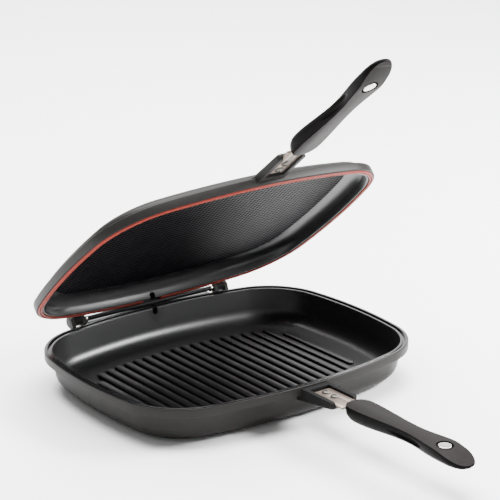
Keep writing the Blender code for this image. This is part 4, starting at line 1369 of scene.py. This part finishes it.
class FLIPPAN_OT_hinges(bpy.types.Operator):
    """Hinge pins, the caps pressed on their ends and the bar between the caps"""

    bl_idname = "flip_pan.hinges"
    bl_label = "Hinges"

    def execute(self, context):
        (start, _), (_, end) = ear_spans()
        mouth, closed = cap_span()
        tip = start - CAP_LENGTH + CAP_WALL
        head = end - PIN_HEAD_THICKNESS
        bore = PIN_RADIUS + PIN_FIT
        floor = closed + CAP_WALL - PIN_FIT
        pin = [(0.0, tip, 0), (PIN_RADIUS, tip, ARM_EDGE), (PIN_RADIUS, head, 0),
               (PIN_HEAD_RADIUS, head, 0), (PIN_HEAD_RADIUS, end, ARM_EDGE), (0.0, end, 0)]
        cap = [(0.0, floor, 0), (bore, floor, 0), (bore, mouth, 0),
               (CAP_RADIUS, mouth, CAP_MOUTH_ROUND), (CAP_RADIUS, closed, CAP_END_ROUND),
               (0.0, closed, 0)]
        plating = kept(bright_plating, "chrome_plating", 0.16)
        dark = kept(blackened_steel, "blackened_steel")
        for side, title in ((-1, "left"), (1, "right")):
            for kind, line, look in (("pin", pin, dark), ("pin_cap", cap, plating)):
                made = on_hinge(kind, rounded(line), side)
                paint(made, [look])
                hand_over(made, f"hinge_{kind}_{title}_turned", "lower",
                          [f"hinge_{kind}_{title}"])
        half_bar = closed - PIN_FIT
        bar = on_hinge("bar", rounded([
            (0.0, -half_bar, 0), (PIN_RADIUS, -half_bar, ARM_EDGE),
            (PIN_RADIUS, half_bar, ARM_EDGE), (0.0, half_bar, 0)]))
        paint(bar, [dark])
        hand_over(bar, "hinge_bar_turned", "lower", [])
        return {"FINISHED"}


def area_light(name, place, target, size, power):
    """A soft studio light that points at a target."""
    deselect()
    bpy.ops.object.light_add(type="AREA", location=place)
    lamp = bpy.context.object
    lamp.name = name
    lamp.data.shape = "RECTANGLE"
    lamp.data.size, lamp.data.size_y = size
    lamp.data.energy = power
    aim = Vector(target) - Vector(place)
    lamp.rotation_euler = aim.to_track_quat("-Z", "Y").to_euler()


class FLIPPAN_OT_stage(bpy.types.Operator):
    """Pale floor, soft studio light and the camera of the photograph"""

    bl_idname = "flip_pan.stage"
    bl_label = "Stage"

    def execute(self, context):
        deselect()
        bpy.ops.mesh.primitive_plane_add(size=STUDIO_SIZE, location=(0.0, 0.0, -STUDIO_DROP))
        floor = context.object
        floor.name = "studio_floor"
        pale = finish("pale_floor", Base_Color=linear("#f7f7f7"), Roughness=0.9, IOR=1.3)[0]
        floor.data.materials.append(pale)
        world = bpy.data.worlds.new("studio")
        world.use_nodes = True
        sky = world.node_tree.nodes["Background"]
        sky.inputs["Color"].default_value = linear("#ffffff")
        sky.inputs["Strength"].default_value = SKY_STRENGTH
        context.scene.world = world
        for light in LIGHTS:
            area_light(*light)
        deselect()
        bpy.ops.object.camera_add(location=CAMERA_PLACE, rotation=CAMERA_TURN)
        camera = context.object
        camera.name = "photo_camera"
        camera.data.sensor_width = CAMERA_SENSOR
        camera.data.lens = CAMERA_LENS
        context.scene.camera = camera
        deselect()
        return {"FINISHED"}


PIECES = (
    FLIPPAN_OT_lower_pan,
    FLIPPAN_OT_upper_pan,
    FLIPPAN_OT_seal,
    FLIPPAN_OT_straps,
    FLIPPAN_OT_screws,
    FLIPPAN_OT_grips,
    FLIPPAN_OT_magnets,
    FLIPPAN_OT_hinges,
    FLIPPAN_OT_stage,
)


class FLIPPAN_PT_sidebar(bpy.types.Panel):
    """Sizes, colours and pieces of the flip pan"""

    bl_idname = "FLIPPAN_PT_sidebar"
    bl_label = "Flip pan"
    bl_space_type = "VIEW_3D"
    bl_region_type = "UI"
    bl_category = "Flip pan"

    def draw(self, context):
        for group in (context.scene.flip_pan_sizes, context.scene.flip_pan_colours):
            for key in group.__annotations__:
                self.layout.prop(group, key)
        for piece in PIECES:
            self.layout.operator(piece.bl_idname)


CLASSES = (PanSizes, PanColours, *PIECES, FLIPPAN_PT_sidebar)


def register():
    """Register the classes and hang their settings on the scene."""
    for kind in CLASSES:
        bpy.utils.register_class(kind)
    bpy.types.Scene.flip_pan_sizes = PointerProperty(type=PanSizes)
    bpy.types.Scene.flip_pan_colours = PointerProperty(type=PanColours)


def unregister():
    """Take the settings and classes away again."""
    del bpy.types.Scene.flip_pan_sizes
    del bpy.types.Scene.flip_pan_colours
    for kind in reversed(CLASSES):
        bpy.utils.unregister_class(kind)


def main():
    """Model every piece in order."""
    register()
    for piece in PIECES:
        family, action = piece.bl_idname.split(".")
        getattr(getattr(bpy.ops, family), action)()


if __name__ == "__main__":
    main()
